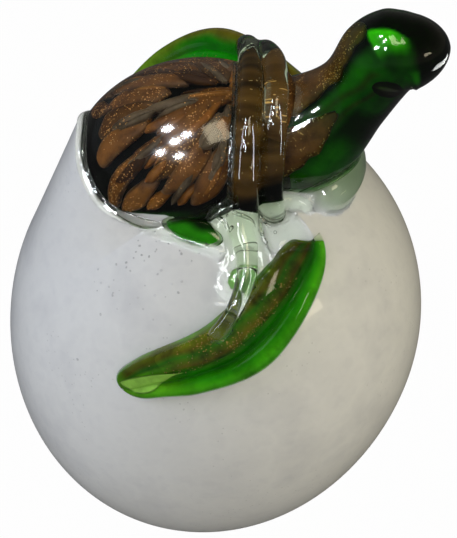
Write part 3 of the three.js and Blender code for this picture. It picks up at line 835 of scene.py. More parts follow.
def heart_tint(along, around):
    """The glass inside: dark on top and in front, deep green sides with painted shade under the throat, a
    light green crown on the right.
    """
    aside = np.abs(around)
    # Painted shade: the side green is dimmed on the neck's underside, in the hollow over the throat
    throat_shade = band(along, 0.2, 0.27, 0.34, 0.4) * smooth_step(74, 92, aside)
    shade = smooth_step(0.54, 0.66, along) * smooth_step(112, 84, aside)
    side = band(aside, 28, 46, 122, 150) * smooth_step(1.0, 0.8, along)
    side = side * (1 - 0.9 * throat_shade) * (1 - 0.5 * shade)
    streak = band(along, 0.2, 0.28, 0.46, 0.56) * band(aside, 34, 44, 64, 78)
    tint = laid_over(HEART_DARK, HEART_DEEP * (1 + 0.5 * streak)[:, None], side)
    drift = aside - 120 * (along - 0.3) + 3 * np.sin(40 * along)
    rust = np.exp(-(((drift - 52) / 7) ** 2)) + np.exp(-(((drift - 74) / 5) ** 2))
    tint = laid_over(tint, HEART_RUST, 0.8 * rust * band(along, 0.2, 0.28, 0.5, 0.56))
    chest = band(along, 0.14, 0.19, 0.22, 0.29) * smooth_step(84, 104, aside)
    tint = laid_over(tint, HEART_BRIGHT * 0.2, chest)
    jaw = band(along, 0.78, 0.86, 0.88, 1.0) * band(aside, 90, 102, 122, 142)
    tint = laid_over(tint, HEART_BRIGHT * 0.3, jaw)
    top = 4 + 90 * (along - 0.6)
    crown = band(along, 0.585, 0.605, 0.72, 0.92) * band(around, top, top + 8, 34, 66)
    return laid_over(tint, HEART_BRIGHT, crown)


heart_points, heart_faces, *heart_places = neck_skin(-HEART_DEPTH, NECK_START)
heart_colours = heart_tint(*heart_places)
piece("neck_and_head_heart", heart_points, heart_faces, TINTED, "dark_green_glass", tint=heart_colours)

# Tongues of the coat: the station where each ends, its middle, its half width in degrees, and its bluntness
TONGUES = {
    "nape_coat": (0.595, 0.0, 33.0, 9.0),
    "throat_coat_right": (0.31, 66.0, 27.0, 1.4),
    "throat_coat_left": (0.31, -66.0, 27.0, 1.4),
}
TONGUE_BROWN = np.array((0.17, 0.062, 0.014))
TONGUE_SHARES = np.linspace(0, 1, 60)
TONGUE_STEPS = 25
COAT_DEPTH = 0.15
NECK_FLECKS = 170


def tongue(to, middle, half_turn, bluntness):
    """Copper-fleck glass under the neck's skin, narrowing towards the head."""
    across = np.linspace(-1, 1, TONGUE_STEPS)
    rings = []
    for share in TONGUE_SHARES:
        t = NECK_START + (to - NECK_START) * share
        reach = math.radians(half_turn) * math.sqrt(1 - 0.985 * share**bluntness)
        ripple = 1 + 0.09 * np.sin(19 * share + across) + 0.06 * np.sin(37 * share + 1 + 2 * across)
        turns = math.radians(middle) + reach * ripple * across
        sink = COAT_DEPTH + 0.5 * across**6 + 0.7 * share**5
        outer = neck_point(t, turns, -sink)
        inner = neck_point(t, turns, -sink - NECK_COAT * 0.5)
        rings.append(np.vstack([outer, inner[::-1]]))
    return loft(rings)


tongue_rims = []
for node, shape in TONGUES.items():
    points, faces = tongue(*shape)
    along = np.append(np.repeat(TONGUE_SHARES, 2 * TONGUE_STEPS), [0.0, 1.0])
    tint = TONGUE_BROWN * (1 - 0.45 * along)[:, None]
    piece(f"{node}_glass", points, faces, COPPER, "copper_fleck_glass", [node], tint=tint)
    outer = points[:-2].reshape(len(TONGUE_SHARES), 2, TONGUE_STEPS, 3)[8:56, 0]
    rims = outer[:, [2, 3, 5, -6, -4, -3]] if node == "nape_coat" else outer[:, [1, 2, 3, -4, -3, -2]]
    tongue_rims.append(rims.reshape(-1, 3))
tongue_spots = np.vstack(tongue_rims)
tongue_spots = tongue_spots[rng.choice(len(tongue_spots), NECK_FLECKS, replace=False)]
spine = turtle.world(neck_spine(np.linspace(0, 0.6, 200)))
tongue_out = unit(tongue_spots - spine[np.linalg.norm(tongue_spots[:, None] - spine, axis=2).argmin(1)])
flecks("neck_flecks", tongue_spots + tongue_out * 0.05, tongue_out, 0.08, 0.2)

EYE_TILT = 36
eye_axes = np.array(tilted(EYE_TILT)) @ turtle.axes
eye_halves = (EYE_LENGTH / 2, EYE_LENGTH * 0.33, EYE_LENGTH * 0.33)
for node, side in (("eye_right", -1), ("eye_left", 1)):
    spot = turtle.world((head_middle - HEAD_LENGTH * 0.15, side * HEAD_HALF * 0.69, HEAD_RISE * 0.7))
    piece(f"{node}_bead", *ball(spot, eye_axes, eye_halves, 40, 24), BLACK, "black_glass", [node])

# The flippers: frame, side of the leading edge, and how far the tip is drawn out and curled
FLIPPERS = {
    "right": (right_flipper, 1, -1.6, 0.0),
    "left": (left_flipper, -1, 9.0, 3.2),
}
# The face over the blade's width, as places across and heights in shares of the thickness
BLADE_FACE = np.array([
    (0, 0.1), (0.03, 0.34), (0.1, 0.55), (0.32, 0.68), (0.54, 0.66), (0.62, 0.56),
    (0.72, 0.86), (0.84, 1.0), (0.94, 0.82), (0.985, 0.5), (1, 0.1),
])
BLADE_CURL = EGG_RADIUS + FLIPPER_THICKNESS
BLADE_STEPS = 61
BLADE_SHARES = eased(90)
TIP_SPREAD = 2.5
SHOULDER_TRIM = 2.4
SHOULDER_SHEAR = 3.5
HEART_SINK = 0.75
COAT_SINK = 0.3
COAT_STEPS = 33
COAT_SHARES = np.linspace(0.05, 0.8, 90)
FACET_STEPS = 25
FACET_SPAN = (0.73, 0.98)
FLIPPER_FLECKS = 110


def blade_point(side, share, across, height):
    """A point over a flipper: share from the shoulder to the tip, across from the trailing edge."""
    flipper, lead, stretch, curl = FLIPPERS[side]
    share, across = np.broadcast_arrays(np.asarray(share, float), np.asarray(across, float))
    bow = np.maximum(0, 1 - (2 * share - 1) ** 2)
    trailing = FLIPPER_HOLLOW * bow - TIP_SPREAD * smooth_step(0.5, 0.86, share)
    round_end = np.sqrt(np.maximum(0.0004, 1 - np.abs(2 * share - 1) ** 14))
    end_width = FLIPPER_SHOULDER_WIDTH + (FLIPPER_TIP_WIDTH - FLIPPER_SHOULDER_WIDTH) * share
    ease = 1 - 0.3 * smooth_step(0.4, 0.9, share) - 0.15 * smooth_step(0.75, 0.92, share)
    leading = end_width * (1 - bow) + FLIPPER_BULGE * ease * bow**0.9
    x = FLIPPER_LENGTH * (share - 0.5) + stretch * share**6
    x = x + (SHOULDER_TRIM - SHOULDER_SHEAR * across) * (1 - share) ** 8
    y = (trailing + leading) / 2 + (leading - trailing) * (across - 0.5) * round_end
    y = y - FLIPPER_BULGE / 2 - curl * smooth_step(0.45, 1.0, share) ** 1.5
    return flipper.world(np.stack([x, lead * y, height - (x * x + y * y) / (2 * BLADE_CURL)], -1))


def blade_taper(share):
    bow = np.maximum(0, 1 - (2 * np.asarray(share) - 1) ** 2)
    return FLIPPER_THICKNESS * (0.42 + 0.58 * bow**0.7)


def end_round(share):
    return math.sqrt(max(0.02, 1 - (2 * share - 1) ** 8))


def face_height(across):
    """Height of the blade's face over its width, as a share of its thickness."""
    fine = catmull_rom(BLADE_FACE, np.linspace(0, 1, 200))
    return np.interp(across, np.maximum.accumulate(fine[:, 0]), fine[:, 1])


def leaf(side, shares, section, skipped=0):
    """A closed skin on a blade, and the place of each of its points along and across the blade.

    A section gives, at a share of the length, places across and the heights of the face and the back there.
    The back leaves out as many places at its two edges as are skipped.
    """
    rings, places = [], []
    for share in shares:
        across, top, bottom = section(share)
        back = slice(skipped, len(across) - skipped)
        around = np.append(across, across[::-1][back])
        rings.append(blade_point(side, share, around, np.append(top, bottom[::-1][back])))
        places.append(np.stack([np.full(len(around), share), around], 1))
    middle = places[0][:, 1].mean()
    places.append([(shares[0], middle), (shares[-1], middle)])
    return *loft(rings), np.vstack(places)


def glass_section(share):
    across = eased(BLADE_STEPS)
    thick = blade_taper(share) * end_round(share)
    return across, face_height(across) * thick, np.full(BLADE_STEPS, -0.5 * thick)


def heart_section(share):
    """The coloured glass inside a blade."""
    across = 0.02 + 0.96 * eased(BLADE_STEPS)
    thick = blade_taper(share) * end_round(share)
    top = np.maximum(face_height(across) * thick - HEART_SINK * end_round(share) ** 2, 0)
    return across, top, np.full(BLADE_STEPS, -0.4 * thick)


def coat_section(share):
    """Copper-fleck glass laid into the blade's face."""
    across = np.linspace(0.04, 0.5, COAT_STEPS)
    edge = np.linspace(-1, 1, COAT_STEPS)
    along = 2 * (share - COAT_SHARES[0]) / (COAT_SHARES[-1] - COAT_SHARES[0]) - 1
    sink = COAT_SINK + 0.6 * edge**6 + 0.6 * abs(along) ** 8
    top = face_height(across) * blade_taper(share) - sink
    return across, top, top - FLIPPER_COAT * 0.2


def facet_section(share):
    """The light facet on the near blade's tip: a leaf of lime glass set flush in the face, its lightness
    partly a painted reflection of the white surroundings.
    """
    start, stop = FACET_SPAN
    low = 0.2 + 1.15 * (stop - share)
    high = low + 0.01 + 0.48 * band(share, start, 0.93, 0.95, 1.0)
    across = np.linspace(low, high, FACET_STEPS)
    crown = 0.08 * np.sin(np.linspace(0, np.pi, FACET_STEPS)) ** 0.3 - 0.05
    top = face_height(across) * blade_taper(share) * end_round(share) + crown
    return across, top, top - 0.25


# Colours across the blade, from the trailing edge to the leading edge
BLADE_COLOURS = {
    "right": [
        (0.0, (0.3, 0.75, 0.04)), (0.05, (0.28, 0.34, 0.015)), (0.15, (0.25, 0.2, 0.01)),
        (0.24, (0.08, 0.36, 0.01)), (0.33, (0.18, 0.28, 0.01)), (0.42, (0.28, 0.19, 0.012)),
        (0.48, (0.1, 0.32, 0.01)), (0.56, (0.03, 0.4, 0.006)), (0.74, (0.07, 0.62, 0.01)),
        (0.86, (0.2, 0.9, 0.02)), (1.0, (0.26, 1.0, 0.03)),
    ],
    "left": [
        (0.0, (0.02, 0.7, 0.01)), (0.4, (0.015, 0.75, 0.01)), (0.74, (0.03, 0.7, 0.01)),
        (0.83, (0.34, 0.3, 0.02)), (0.9, (0.44, 0.26, 0.02)), (1.0, (0.4, 0.4, 0.02)),
    ],
}
TIP_COLOURS = {"right": (0.3, 0.9, 0.03), "left": (0.55, 0.8, 0.06)}
# Lime of the near tip's facet, lightened as a painted reflection of the white surroundings
LIME_AND_PAINTED_REFLECTION = (0.34, 0.68, 0.1)


def blade_tint(side, share, across):
    """The glass in a blade: streaks along it, dark at the near one's shoulder, light at the tip."""
    at, colours = zip(*BLADE_COLOURS[side])
    wander = across + 0.02 * np.sin(19 * share) + 0.012 * np.sin(43 * share + 2)
    tint = np.stack([np.interp(wander, at, channel) for channel in zip(*colours)], 1)
    tip = smooth_step(0.55, 0.85, share)
    if side == "right":
        face = smooth_step(0.62, 0.5, across) * smooth_step(0.4, 0.12, share)
        tint = tint * (1 - 0.4 * face)[:, None]
        tip = smooth_step(0.7, 0.86, share) * band(across, 0.26, 0.32, 0.75, 0.95)
        tip = np.maximum(tip, smooth_step(0.92, 0.98, share))
    return laid_over(tint, TIP_COLOURS[side], tip)


blades = {}
blade_pieces = []
for side, (flipper, *_) in FLIPPERS.items():
    node, coat = f"flipper_{side}", f"flipper_{side}_coat"
    blades[side] = leaf(side, BLADE_SHARES, glass_section, 1)[:2]
    blade_pieces.append(piece(f"{node}_glass", *blades[side], GREEN_FLIPPER, "green_glass", [node]))
    points, faces, places = leaf(side, 0.008 + 0.984 * BLADE_SHARES, heart_section, 1)
    piece(f"{node}_heart", points, faces, TINTED, "dark_green_glass", tint=blade_tint(side, *places.T))
    points, faces, places = leaf(side, COAT_SHARES, coat_section)
    tint = blade_tint(side, *places.T)
    piece(f"{coat}_glass", points, faces, COPPER, "copper_fleck_glass", [coat], tint=tint)
    share = rng.uniform(0.15, 0.85, FLIPPER_FLECKS)
    across = rng.normal(0.4, 0.08, FLIPPER_FLECKS).clip(0.1, 0.5)
    spots = blade_point(side, share, across, face_height(across) * blade_taper(share) - 0.2)
    flecks(f"{node}_flecks", spots, np.tile(flipper.axes[2], (FLIPPER_FLECKS, 1)), 0.07, 0.17)

# The near tip's facet: lime glass, partly a painted reflection
facet_points, facet_faces, _ = leaf("right", np.linspace(*FACET_SPAN, 50), facet_section)
piece("flipper_right_tip", facet_points, facet_faces, TINTED, "green_glass", tint=LIME_AND_PAINTED_REFLECTION)

# The clear trails, webs and lip: fused glass, found as the zero surface of blended distances on a grid

GRID_LOW = np.array([-27.0, -40.0, 60.0])
GRID_HIGH = np.array([33.0, 37.0, 102.0])
FAR = 9.0
REACH = 3.0
FUSE_REACH = 2.6
LUMP_FILLET = 2.5
TRAIL_FILLET = 1.0
CUT_OVERLAP = 0.15
grid = [np.arange(low, high, GLASS_STEP) for low, high in zip(GRID_LOW, GRID_HIGH)]
grid_shape = tuple(len(g) for g in grid)


def blend(a, b, width):
    """The smaller of two distances, with a fillet of a given width where they meet."""
    h = np.maximum(width - np.abs(a - b), 0) / width
    return np.minimum(a, b) - h * h * width / 4


def near(centre, reach):
    """The grid's slices round a point, and the way to their places from it."""
    spans = []
    for g, c in zip(grid, centre):
        spans.append(slice(max(0, np.searchsorted(g, c - reach)), np.searchsorted(g, c + reach)))
    places = np.meshgrid(*[g[s] for g, s in zip(grid, spans)], indexing="ij", sparse=True)
    return tuple(spans), [place - c for place, c in zip(places, centre)]


def empty_field():
    return np.full(grid_shape, FAR, np.float32)


def stroke(path, radii):
    """Distance from a round trail of glass."""
    field = empty_field()
    for centre, radius in zip(path, radii):
        spans, (x, y, z) = near(centre, radius + REACH)
        field[spans] = np.minimum(field[spans], np.sqrt(x**2 + y**2 + z**2) - radius)
    return field


def lumps(shapes):
    """Distance from blended lumps, each a centre, axes and three half sizes."""
    field = empty_field()
    for centre, axes, halves in shapes:
        spans, way = near(centre, max(halves) + REACH)
        local = [sum(a * c for a, c in zip(axis, way)) for axis in axes]
        field[spans] = blend(field[spans], ellipsoid_distance(local, halves), LUMP_FILLET)
    return field


def stroke_gap(points, path, radii):
    """Exact distances of some points from a round trail."""
    gaps = []
    for start in range(0, len(points), 2000):
        some = points[start : start + 2000]
        square = (some**2).sum(1)[:, None] - 2 * some @ path.T + (path**2).sum(1)
        gaps.append((np.sqrt(np.maximum(square, 0)) - radii).min(1))
    return np.concatenate(gaps)


def lumps_gap(points, shapes):
    """Exact distances of some points from blended lumps."""
    gap = np.full(len(points), FAR)
    for centre, axes, halves in shapes:
        gap = blend(gap, ellipsoid_distance(((points - centre) @ axes.T).T, halves), LUMP_FILLET)
    return gap


# The straps

neck_base = NECK_HALF + NECK_FLARE * 0.46 + SEAM
strap_half = STRAP_THICKNESS / 2
STRAP_PITCH = STRAP_THICKNESS + SEAM
ARCH_TURNS = (-62, -40, -15, 15, 45, 75, 98)
REAR_STEPS = 460
FRONT_STEPS = 300
FRONT_FOOT = (11.9, -15.0, 1.4)
# The arm over the near flipper: places along and across the blade, and heights in thicknesses
ARM_SPOTS = [
    (0.15, -0.83, 0.42), (0.21, -0.48, 0.56), (0.28, -0.21, 0.78),
    (0.37, -0.04, 0.9), (0.45, 0.05, 0.88), (0.52, 0.1, 0.8),
]
PAD_HALF_WIDTH = 2.3
PAD_HALF_HEIGHT = 1.2
PAD_SINK = 1.0
PAD_BROWN = (0.13, 0.055, 0.014)


def arch_point(ahead, degrees):
    """The middle of a strap over the shoulders, at an angle from the nape to the right."""
    turn = math.radians(degrees)
    far = smooth_step(0, 55, -degrees)
    x = STRAP_STATION + STRAP_RAKE * math.cos(turn) + ahead * (1 - 0.35 * far)
    slice_share = math.sqrt(max(0, 1 - (x / body_front) ** 2))
    lift = STRAP_THICKNESS * (0.35 + 0.5 * far)
    y = max(BODY_HALF[1] * slice_share, neck_base) + lift
    z = max(BODY_HALF[2] * slice_share, neck_base) + lift
    return turtle.world((x, -y * math.sin(turn), z * math.cos(turn)))


def on_blade(side, share, across, height):
    return blade_point(side, share, across, height * FLIPPER_THICKNESS)


def strap_path(root, ahead, foot, count):
    """A strap from the far flipper's root over the shoulders to its foot."""
    start = [on_blade("left", root + 0.02, 0.8, 0.85), on_blade("left", root, 0.4, 0.95)]
    return even_path([*start, *(arch_point(ahead, turn) for turn in ARCH_TURNS), *foot], count)


def trail_radii(count, arm):
    along = np.linspace(0, 1, count)
    far_end = 0.45 + 0.55 * smooth_step(0.0, 0.1, along)
    return strap_half * far_end * (1 - arm * smooth_step(0.74, 1.0, along))


def shoulder_pad():
    """Copper-fleck glass between the front strap and the nape."""
    around = spokes(40)
    rings = []
    for degrees in np.linspace(-52, 62, 60):
        turn = math.radians(degrees)
        out = turtle.turn((0, -math.sin(turn), math.cos(turn)))
        end = math.sqrt(max(0.02, 1 - (abs(degrees - 5) / 57) ** 4))
        middle = arch_point(STRAP_PITCH, degrees) - out * (strap_half + PAD_SINK)
        width = PAD_HALF_WIDTH * end * np.cos(around)
        height = PAD_HALF_HEIGHT * end * np.sin(around)
        rings.append(middle + width[:, None] * turtle.axes[0] + height[:, None] * out)
    return loft(rings)


rear_path = strap_path(0.18, 0, [on_blade("right", *spot) for spot in ARM_SPOTS], REAR_STEPS)
front_path = strap_path(0.12, STRAP_PITCH, [egg_spot(*FRONT_FOOT)], FRONT_STEPS)
piece("shoulder_pad", *shoulder_pad(), COPPER, "copper_fleck_glass", tint=PAD_BROWN)

# What carries the clear glass


def mesh_tree(points, faces):
    """A search tree of a closed mesh, whether it faces out, and the box round it."""
    first, second, third = (points[[face[k] for face in faces]] for k in range(3))
    fourth = points[[face[-1] for face in faces]]
    volume = (first * np.cross(second, third)).sum() + (first * np.cross(third, fourth)).sum()
    side = 1.0 if volume > 0 else -1.0
    return BVHTree.FromPolygons(points.tolist(), faces), side, points.min(0) - REACH, points.max(0) + REACH


carriers = [mesh_tree(*skin) for skin in (blades["right"], blades["left"], (neck_points, neck_faces))]


def mesh_distance(skin, points):
    """Signed distance from a closed mesh, worked out only near it."""
    tree, side, low, high = skin
    gap = np.full(len(points), FAR)
    for i in np.flatnonzero(((points > low) & (points < high)).all(1)):
        p = Vector(points[i])
        spot, normal, _, distance = tree.find_nearest(p)
        gap[i] = math.copysign(distance, side * (p - spot).dot(normal))
    return gap


def egg_distance(points):
    return ellipsoid_distance(*in_egg(points))


def carrier_gap(points):
    body_distance = ellipsoid_distance(turtle.local(points).T, BODY_HALF)
    others = [mesh_distance(skin, points) for skin in carriers]
    return np.minimum.reduce([egg_distance(points), body_distance, *others])


# The lip, and the wall of the egg drawn up behind the tail

LIP_REACH = 112.0
NEAR_REACH = 82.0
LIP_FADE = 30.0
LIP_STEPS = 200
LIP_LEVELS = np.radians(np.linspace(-60, 60, 500))
BRINK_RISE = 3.5
BRINK_DROP = 2.0
BRINK_STEPS = 9
BRINK_CROWN = math.radians(1.6)
WALL_STEPS = 16
WALL_INSET = 0.08
SUNK = math.radians(25)
SUNK_STEPS = 12
SINK_STEPS = 7
SINK_DEGREES = 12
SINK_DEPTH = 0.4
ROOT_DEPTH = 9.0
NEAR_BRINK = 52.0
BRINK_SPOTS = [(-8.5, -16.8), (-5.4, -18.4), (-2.3, -19.8), (0.5, -20.7), (3.0, -21.6)]


def lip_ends(turns):
    """A share that fades the lip out at both ends."""
    past_tail = np.degrees(turns) - 180
    return band(past_tail, -LIP_REACH, LIP_FADE - LIP_REACH, NEAR_REACH - LIP_FADE, NEAR_REACH)


def lip_lines():
    """Round the tail: turns, levels where the body goes into the egg, and levels of the wall's brink."""
    turns = np.radians(np.linspace(180 - LIP_REACH, 180 + NEAR_REACH, LIP_STEPS))
    meets = []
    for turn in turns:
        gap = egg_distance(body_point(ball_direction(LIP_LEVELS, turn), 0.0))
        meets.append(LIP_LEVELS[np.argmax((gap[:-1] < 0) & (gap[1:] >= 0))])
    behind = np.maximum(-np.cos(turns) - 0.34, 0) / 0.66
    rise = COLLAR_RISE * behind**1.9 + BRINK_RISE * lip_ends(turns) - BRINK_DROP
    return turns, np.array(meets), np.array(meets) + np.radians(rise)


def slope_down(spot, sunk):
    """A straight line from a spot to where it touches the egg, and on below the egg's skin."""
    x, y, z = egg.local(spot)
    out, up = math.hypot(x, y) / EGG_RADIUS, z / EGG_NARROW_END
    angle = math.atan2(up, out) - math.acos(min(1.0, 1 / math.hypot(out, up)))
    angles = angle - np.radians(np.linspace(0, SINK_DEGREES, SINK_STEPS))
    depth = np.linspace(0, 1, SINK_STEPS) ** 2 * SINK_DEPTH - 0.02 + sunk
    ends = np.where(angles < 0, EGG_BLUNT_END, EGG_NARROW_END)
    halves = np.stack([np.full(SINK_STEPS, EGG_RADIUS)] * 2 + [ends], 1) - depth[:, None]
    below = egg.world(ball_direction(angles, math.atan2(y, x)) * halves)
    straight = spot + (below[0] - spot) * np.linspace(0, 1, WALL_STEPS + 1)[1:-1, None]
    root = below[-1] + unit(egg.origin - below[-1]) * ROOT_DEPTH
    return np.vstack([straight, below, root])


def collar():
    """The egg's wall drawn up round the body in a straight slope, with a rounded brink."""
    bow = np.linspace(0, np.pi, BRINK_STEPS)
    rings = []
    for turn, meet, brink, end in zip(lip_turns, lip_meets, lip_brinks, lip_ends(lip_turns)):
        thick = COLLAR_THICKNESS * end + 0.05
        inner_levels = np.linspace(meet - SUNK, brink, SUNK_STEPS)[:-1]
        inner = body_point(ball_direction(inner_levels, turn), -WALL_INSET)
        over_levels = brink + BRINK_CROWN * end * np.sin(bow)
        over = body_point(ball_direction(over_levels, turn), thick / 2 * (1 - np.cos(bow)) - WALL_INSET)
        rings.append(np.vstack([inner, over, slope_down(over[-1], 0.3 * (1 - end))]))
    return loft(rings)


lip_turns, lip_meets, lip_brinks = lip_lines()
collar_piece = piece("egg_collar", *collar(), OPAL, "opal_white_glass")
lip_grow = 0.1 + COLLAR_THICKNESS * lip_ends(lip_turns) * 0.5
lip_line = body_point(ball_direction(lip_brinks + math.radians(0.8), lip_turns), lip_grow)
lip_line = lip_line[np.degrees(lip_turns) < 180 + NEAR_BRINK][::12]
lip_path = even_path([*lip_line, *[egg_spot(x, y, 0.2) for x, y in BRINK_SPOTS]], 260)

# Lumps at the feet of the trails and in the webs: place over the table, heading, lift over the egg, and half
# sizes along, across and up
LUMPS = {
    "strap_rear": [
        (5.2, -17.4, 0, 0.9, 3.7, 3.3, 2.6),
        (7.6, -20.6, -80, 0.2, 4.6, 3.4, 1.2),
        (6.0, -24.8, -115, -0.25, 3.2, 1.8, 0.5),
    ],
    "strap_front": [(15.8, -12.0, 0, 0.9, 3.0, 1.4, 1.4)],
    "shoulder_web_right": [(13.0, -17.0, -20, 0.1, 5.0, 3.6, 1.1)],
    "shoulder_web_left": [(20.0, 11.5, 20, 0.8, 4.6, 3.6, 2.4), (14.0, 17.0, 40, 0.6, 4.4, 3.2, 2.0)],
}
# Bubbles in the clear glass, in the same terms
BUBBLES = {
    "strap_rear": [
        (8.1, -21.4, 0, 1.0, 1.1, 0.85, 0.45),
        (5.7, -18.8, 0, 1.3, 0.45, 0.45, 0.4),
        (4.4, -17.2, 0, 1.5, 0.25, 0.25, 0.25),
    ],
    "shoulder_web_right": [(12.4, -17.8, 0, 0.5, 0.3, 0.3, 0.25)],
}
SEED_SPOT = (-9.75, -21.75)
SEED_SPREAD = (4.6, 3.6)
SEED_COUNT = 60
SEED_WHITE = (0.95, 0.96, 0.97)


def lump_on_egg(x, y, heading, lift, *halves):
    """Centre, axes and half sizes of a lump lying on the egg."""
    spot = egg_spot(x, y, lift)
    normal = egg_normal(egg.local(spot))
    ahead = np.array([math.cos(math.radians(heading)), math.sin(math.radians(heading)), 0])
    along = unit(ahead - normal * ahead.dot(normal))
    return spot, np.array([along, np.cross(normal, along), normal]), halves


seeds = []
for x, y in rng.normal(SEED_SPOT, SEED_SPREAD, (SEED_COUNT, 2)):
    size = rng.uniform(0.12, 0.3)
    seeds.append(ball(*lump_on_egg(x, y, rng.uniform(0, 180), 0.0, size, size * 0.8, 0.05), 14, 8))
piece("egg_seeds", *merged(seeds), TINTED, "clear_glass", tint=SEED_WHITE)

throat_place = turtle.world((body_front + NECK_HALF * 0.2, 0, -BODY_HALF[2] * 0.64))
throat_halves = (NECK_HALF, neck_base, BODY_HALF[2] * 0.32)
trails = {
    "strap_rear": (rear_path, trail_radii(REAR_STEPS, 0.45)),
    "strap_front": (front_path, trail_radii(FRONT_STEPS, 0.0)),
    "opening_rim": (lip_path, np.full(len(lip_path), RIM_RADIUS)),
}
webs = {name: [lump_on_egg(*shape) for shape in shapes] for name, shapes in LUMPS.items()}
webs["throat_web"] = [(throat_place, turtle.axes, throat_halves)]
clear_names = list(dict.fromkeys([*trails, *webs]))


def clear_field(name):
    field = stroke(*trails[name]) if name in trails else empty_field()
    return blend(field, lumps(webs[name]), TRAIL_FILLET) if name in webs else field


def fused_gap(points):
    """Exact distance from all the clear glass, blended with what carries it."""
    added = np.full(len(points), FAR)
    for path, radii in trails.values():
        added = blend(added, stroke_gap(points, path, radii), TRAIL_FILLET)
    for shapes in webs.values():
        added = blend(added, lumps_gap(points, shapes), TRAIL_FILLET)
    return blend(added, carrier_gap(points), FILLET)


def settled(points):
    """Moves points that lie next to the fused glass's skin on to it."""
    gap = fused_gap(points)
    skin = np.flatnonzero(np.abs(gap) < GLASS_STEP * 0.4)
    spots, gap = points[skin], gap[skin]
    step = 0.02
    slope = np.stack([fused_gap(spots + step * axis) - gap for axis in np.eye(3)], 1) / step
    spots -= slope * (gap / np.maximum((slope**2).sum(1), 0.2))[:, None]
    points[skin] = spots
    return points


def surface(field, low):
    """Points and quads of a field's zero surface, one point in each cell that it passes through."""
    inside = field < 0
    cells = tuple(n - 1 for n in field.shape)
    total = np.zeros(cells + (3,))
    count = np.zeros(cells)
    edges = []
    for axis in range(3):
        others = [k for k in range(3) if k != axis]
        head = [slice(None)] * 3
        tail = [slice(None)] * 3
        head[axis] = slice(None, -1)
        tail[axis] = slice(1, None)
        a, b = field[tuple(head)], field[tuple(tail)]
        crossed = inside[tuple(head)] != inside[tuple(tail)]
        share = np.where(crossed, a / np.where(a == b, 1, a - b), 0)
        edges.append((axis, others, crossed, inside[tuple(head)]))
        for u, v in ((0, 0), (0, 1), (1, 0), (1, 1)):
            part = [slice(None)] * 3
            part[others[0]] = slice(u, u + cells[others[0]])
            part[others[1]] = slice(v, v + cells[others[1]])
            hit = crossed[tuple(part)]
            total[..., axis] += share[tuple(part)]
            total[..., others[0]] += u * hit
            total[..., others[1]] += v * hit
            count += hit
    used = count > 0
    number = np.full(cells, -1)
    number[used] = np.arange(used.sum())
    points = low + GLASS_STEP * (np.argwhere(used) + total[used] / count[used][:, None])
    quads = []
    for axis, others, crossed, starts_inside in edges:
        where = np.argwhere(crossed)
        for k in others:
            where = where[(where[:, k] > 0) & (where[:, k] < cells[k])]
        corners = []
        for u, v in ((1, 1), (0, 1), (0, 0), (1, 0)):
            step = where.copy()
            step[:, others[0]] -= u
            step[:, others[1]] -= v
            corners.append(number[tuple(step.T)])
        quad = np.stack(corners, 1)
        turned = starts_inside[tuple(where.T)] ^ (axis == 1)
        quad[turned] = quad[turned][:, ::-1]
        quads.append(quad)
    return points, np.vstack(quads)


def fuse():
    """The clear pieces: the fused glass outside what carries it, shared out between the trails and webs."""
    fields = np.stack([clear_field(name) for name in clear_names])
    together = empty_field()
    for field in fields:
        together = blend(together, field, TRAIL_FILLET)
    mask = together < FUSE_REACH
    base = carrier_gap(GRID_LOW + GLASS_STEP * np.argwhere(mask))
    fused = blend(together[mask], base, FILLET)
    shared = np.maximum.reduce([fused, -(base + BURIED), together[mask] - FILLET * 0.8])
    made = {}
    for i, name in enumerate(clear_names):
        rest = np.delete(fields, i, 0)[:, mask].min(0)
        field = empty_field()
        field[mask] = np.maximum(shared, (fields[i][mask] - rest) / 2 - CUT_OVERLAP)
        filled = np.argwhere(field < 0)
        low, high = np.maximum(filled.min(0) - 2, 0), filled.max(0) + 3
        points, faces = surface(field[tuple(map(slice, low, high))], GRID_LOW + GLASS_STEP * low)
        voids = [ball(*lump_on_egg(*shape), 20, 12) for shape in BUBBLES.get(name, ())]
        made[name] = piece(f"{name}_glass", settled(points), faces, CLEAR, "clear_glass", [name], voids=voids)
    return made


clear_pieces = fuse()

# Green drops in the lip and the arm, the arm's one a painted refraction of the near flipper, and the thread
# along the brink

CRESCENT_GREEN = np.array((0.06, 0.6, 0.012))
CRESCENT_HEART = 0.84
THREAD_RADIUS = 0.28

crescent = lump_on_egg(-1.6, -18.0, -24, 0.0, 5.8, 2.6, 0.9)
crescent_piece = piece("rim_green_crescent", *ball(*crescent, 48, 28), GREEN_FLIPPER, "green_glass")
middle, axes, halves = crescent
points, faces = ball(middle, axes, np.array(halves) * CRESCENT_HEART, 48, 28)
along_rim, towards_body, _ = ((points - middle) @ axes.T / halves).T
shade = 1 - 0.93 * smooth_step(-0.25, 0.45, towards_body + 0.12 * np.sin(7 * along_rim))
tint = CRESCENT_GREEN * shade[:, None]
piece("rim_green_crescent_heart", points, faces, TINTED, "dark_green_glass", tint=tint)

# A painted refraction: a green drop on the egg by the clear arm, standing for the near flipper seen through
# it
arm_refraction_drop = lump_on_egg(6.7, -25.0, 60, 0.3, 2.3, 1.9, 0.9)
piece("arm_painted_refraction", *ball(*arm_refraction_drop, 32, 20), GREEN_NECK, "green_glass")

thread_path = body_point(ball_direction(lip_brinks + math.radians(0.6), lip_turns), -0.05)
thread_in = -unit(thread_path - turtle.origin)
thread_sides = [turtle.axes[2] * math.sin(a) + thread_in * math.cos(a) for a in spokes(10)]
thread_rings = thread_path[:, None] + THREAD_RADIUS * np.stack(thread_sides, 1)
piece("rim_green_thread", *loft(thread_rings), GREEN_NECK, "green_glass")

# Camera

CAMERA_ELEVATION = 43.0
CAMERA_DISTANCE = 450.0
CAMERA_ROLL = 2.0
CAMERA_PIVOT = np.array([3.0, 0.0, 42.0])
CAMERA_FOCAL_PIXELS = 2409.0
IMAGE_HEIGHT = 538.0
SENSOR = 36.0
AIM_RIGHT = 2.09
AIM_UP = 7.45

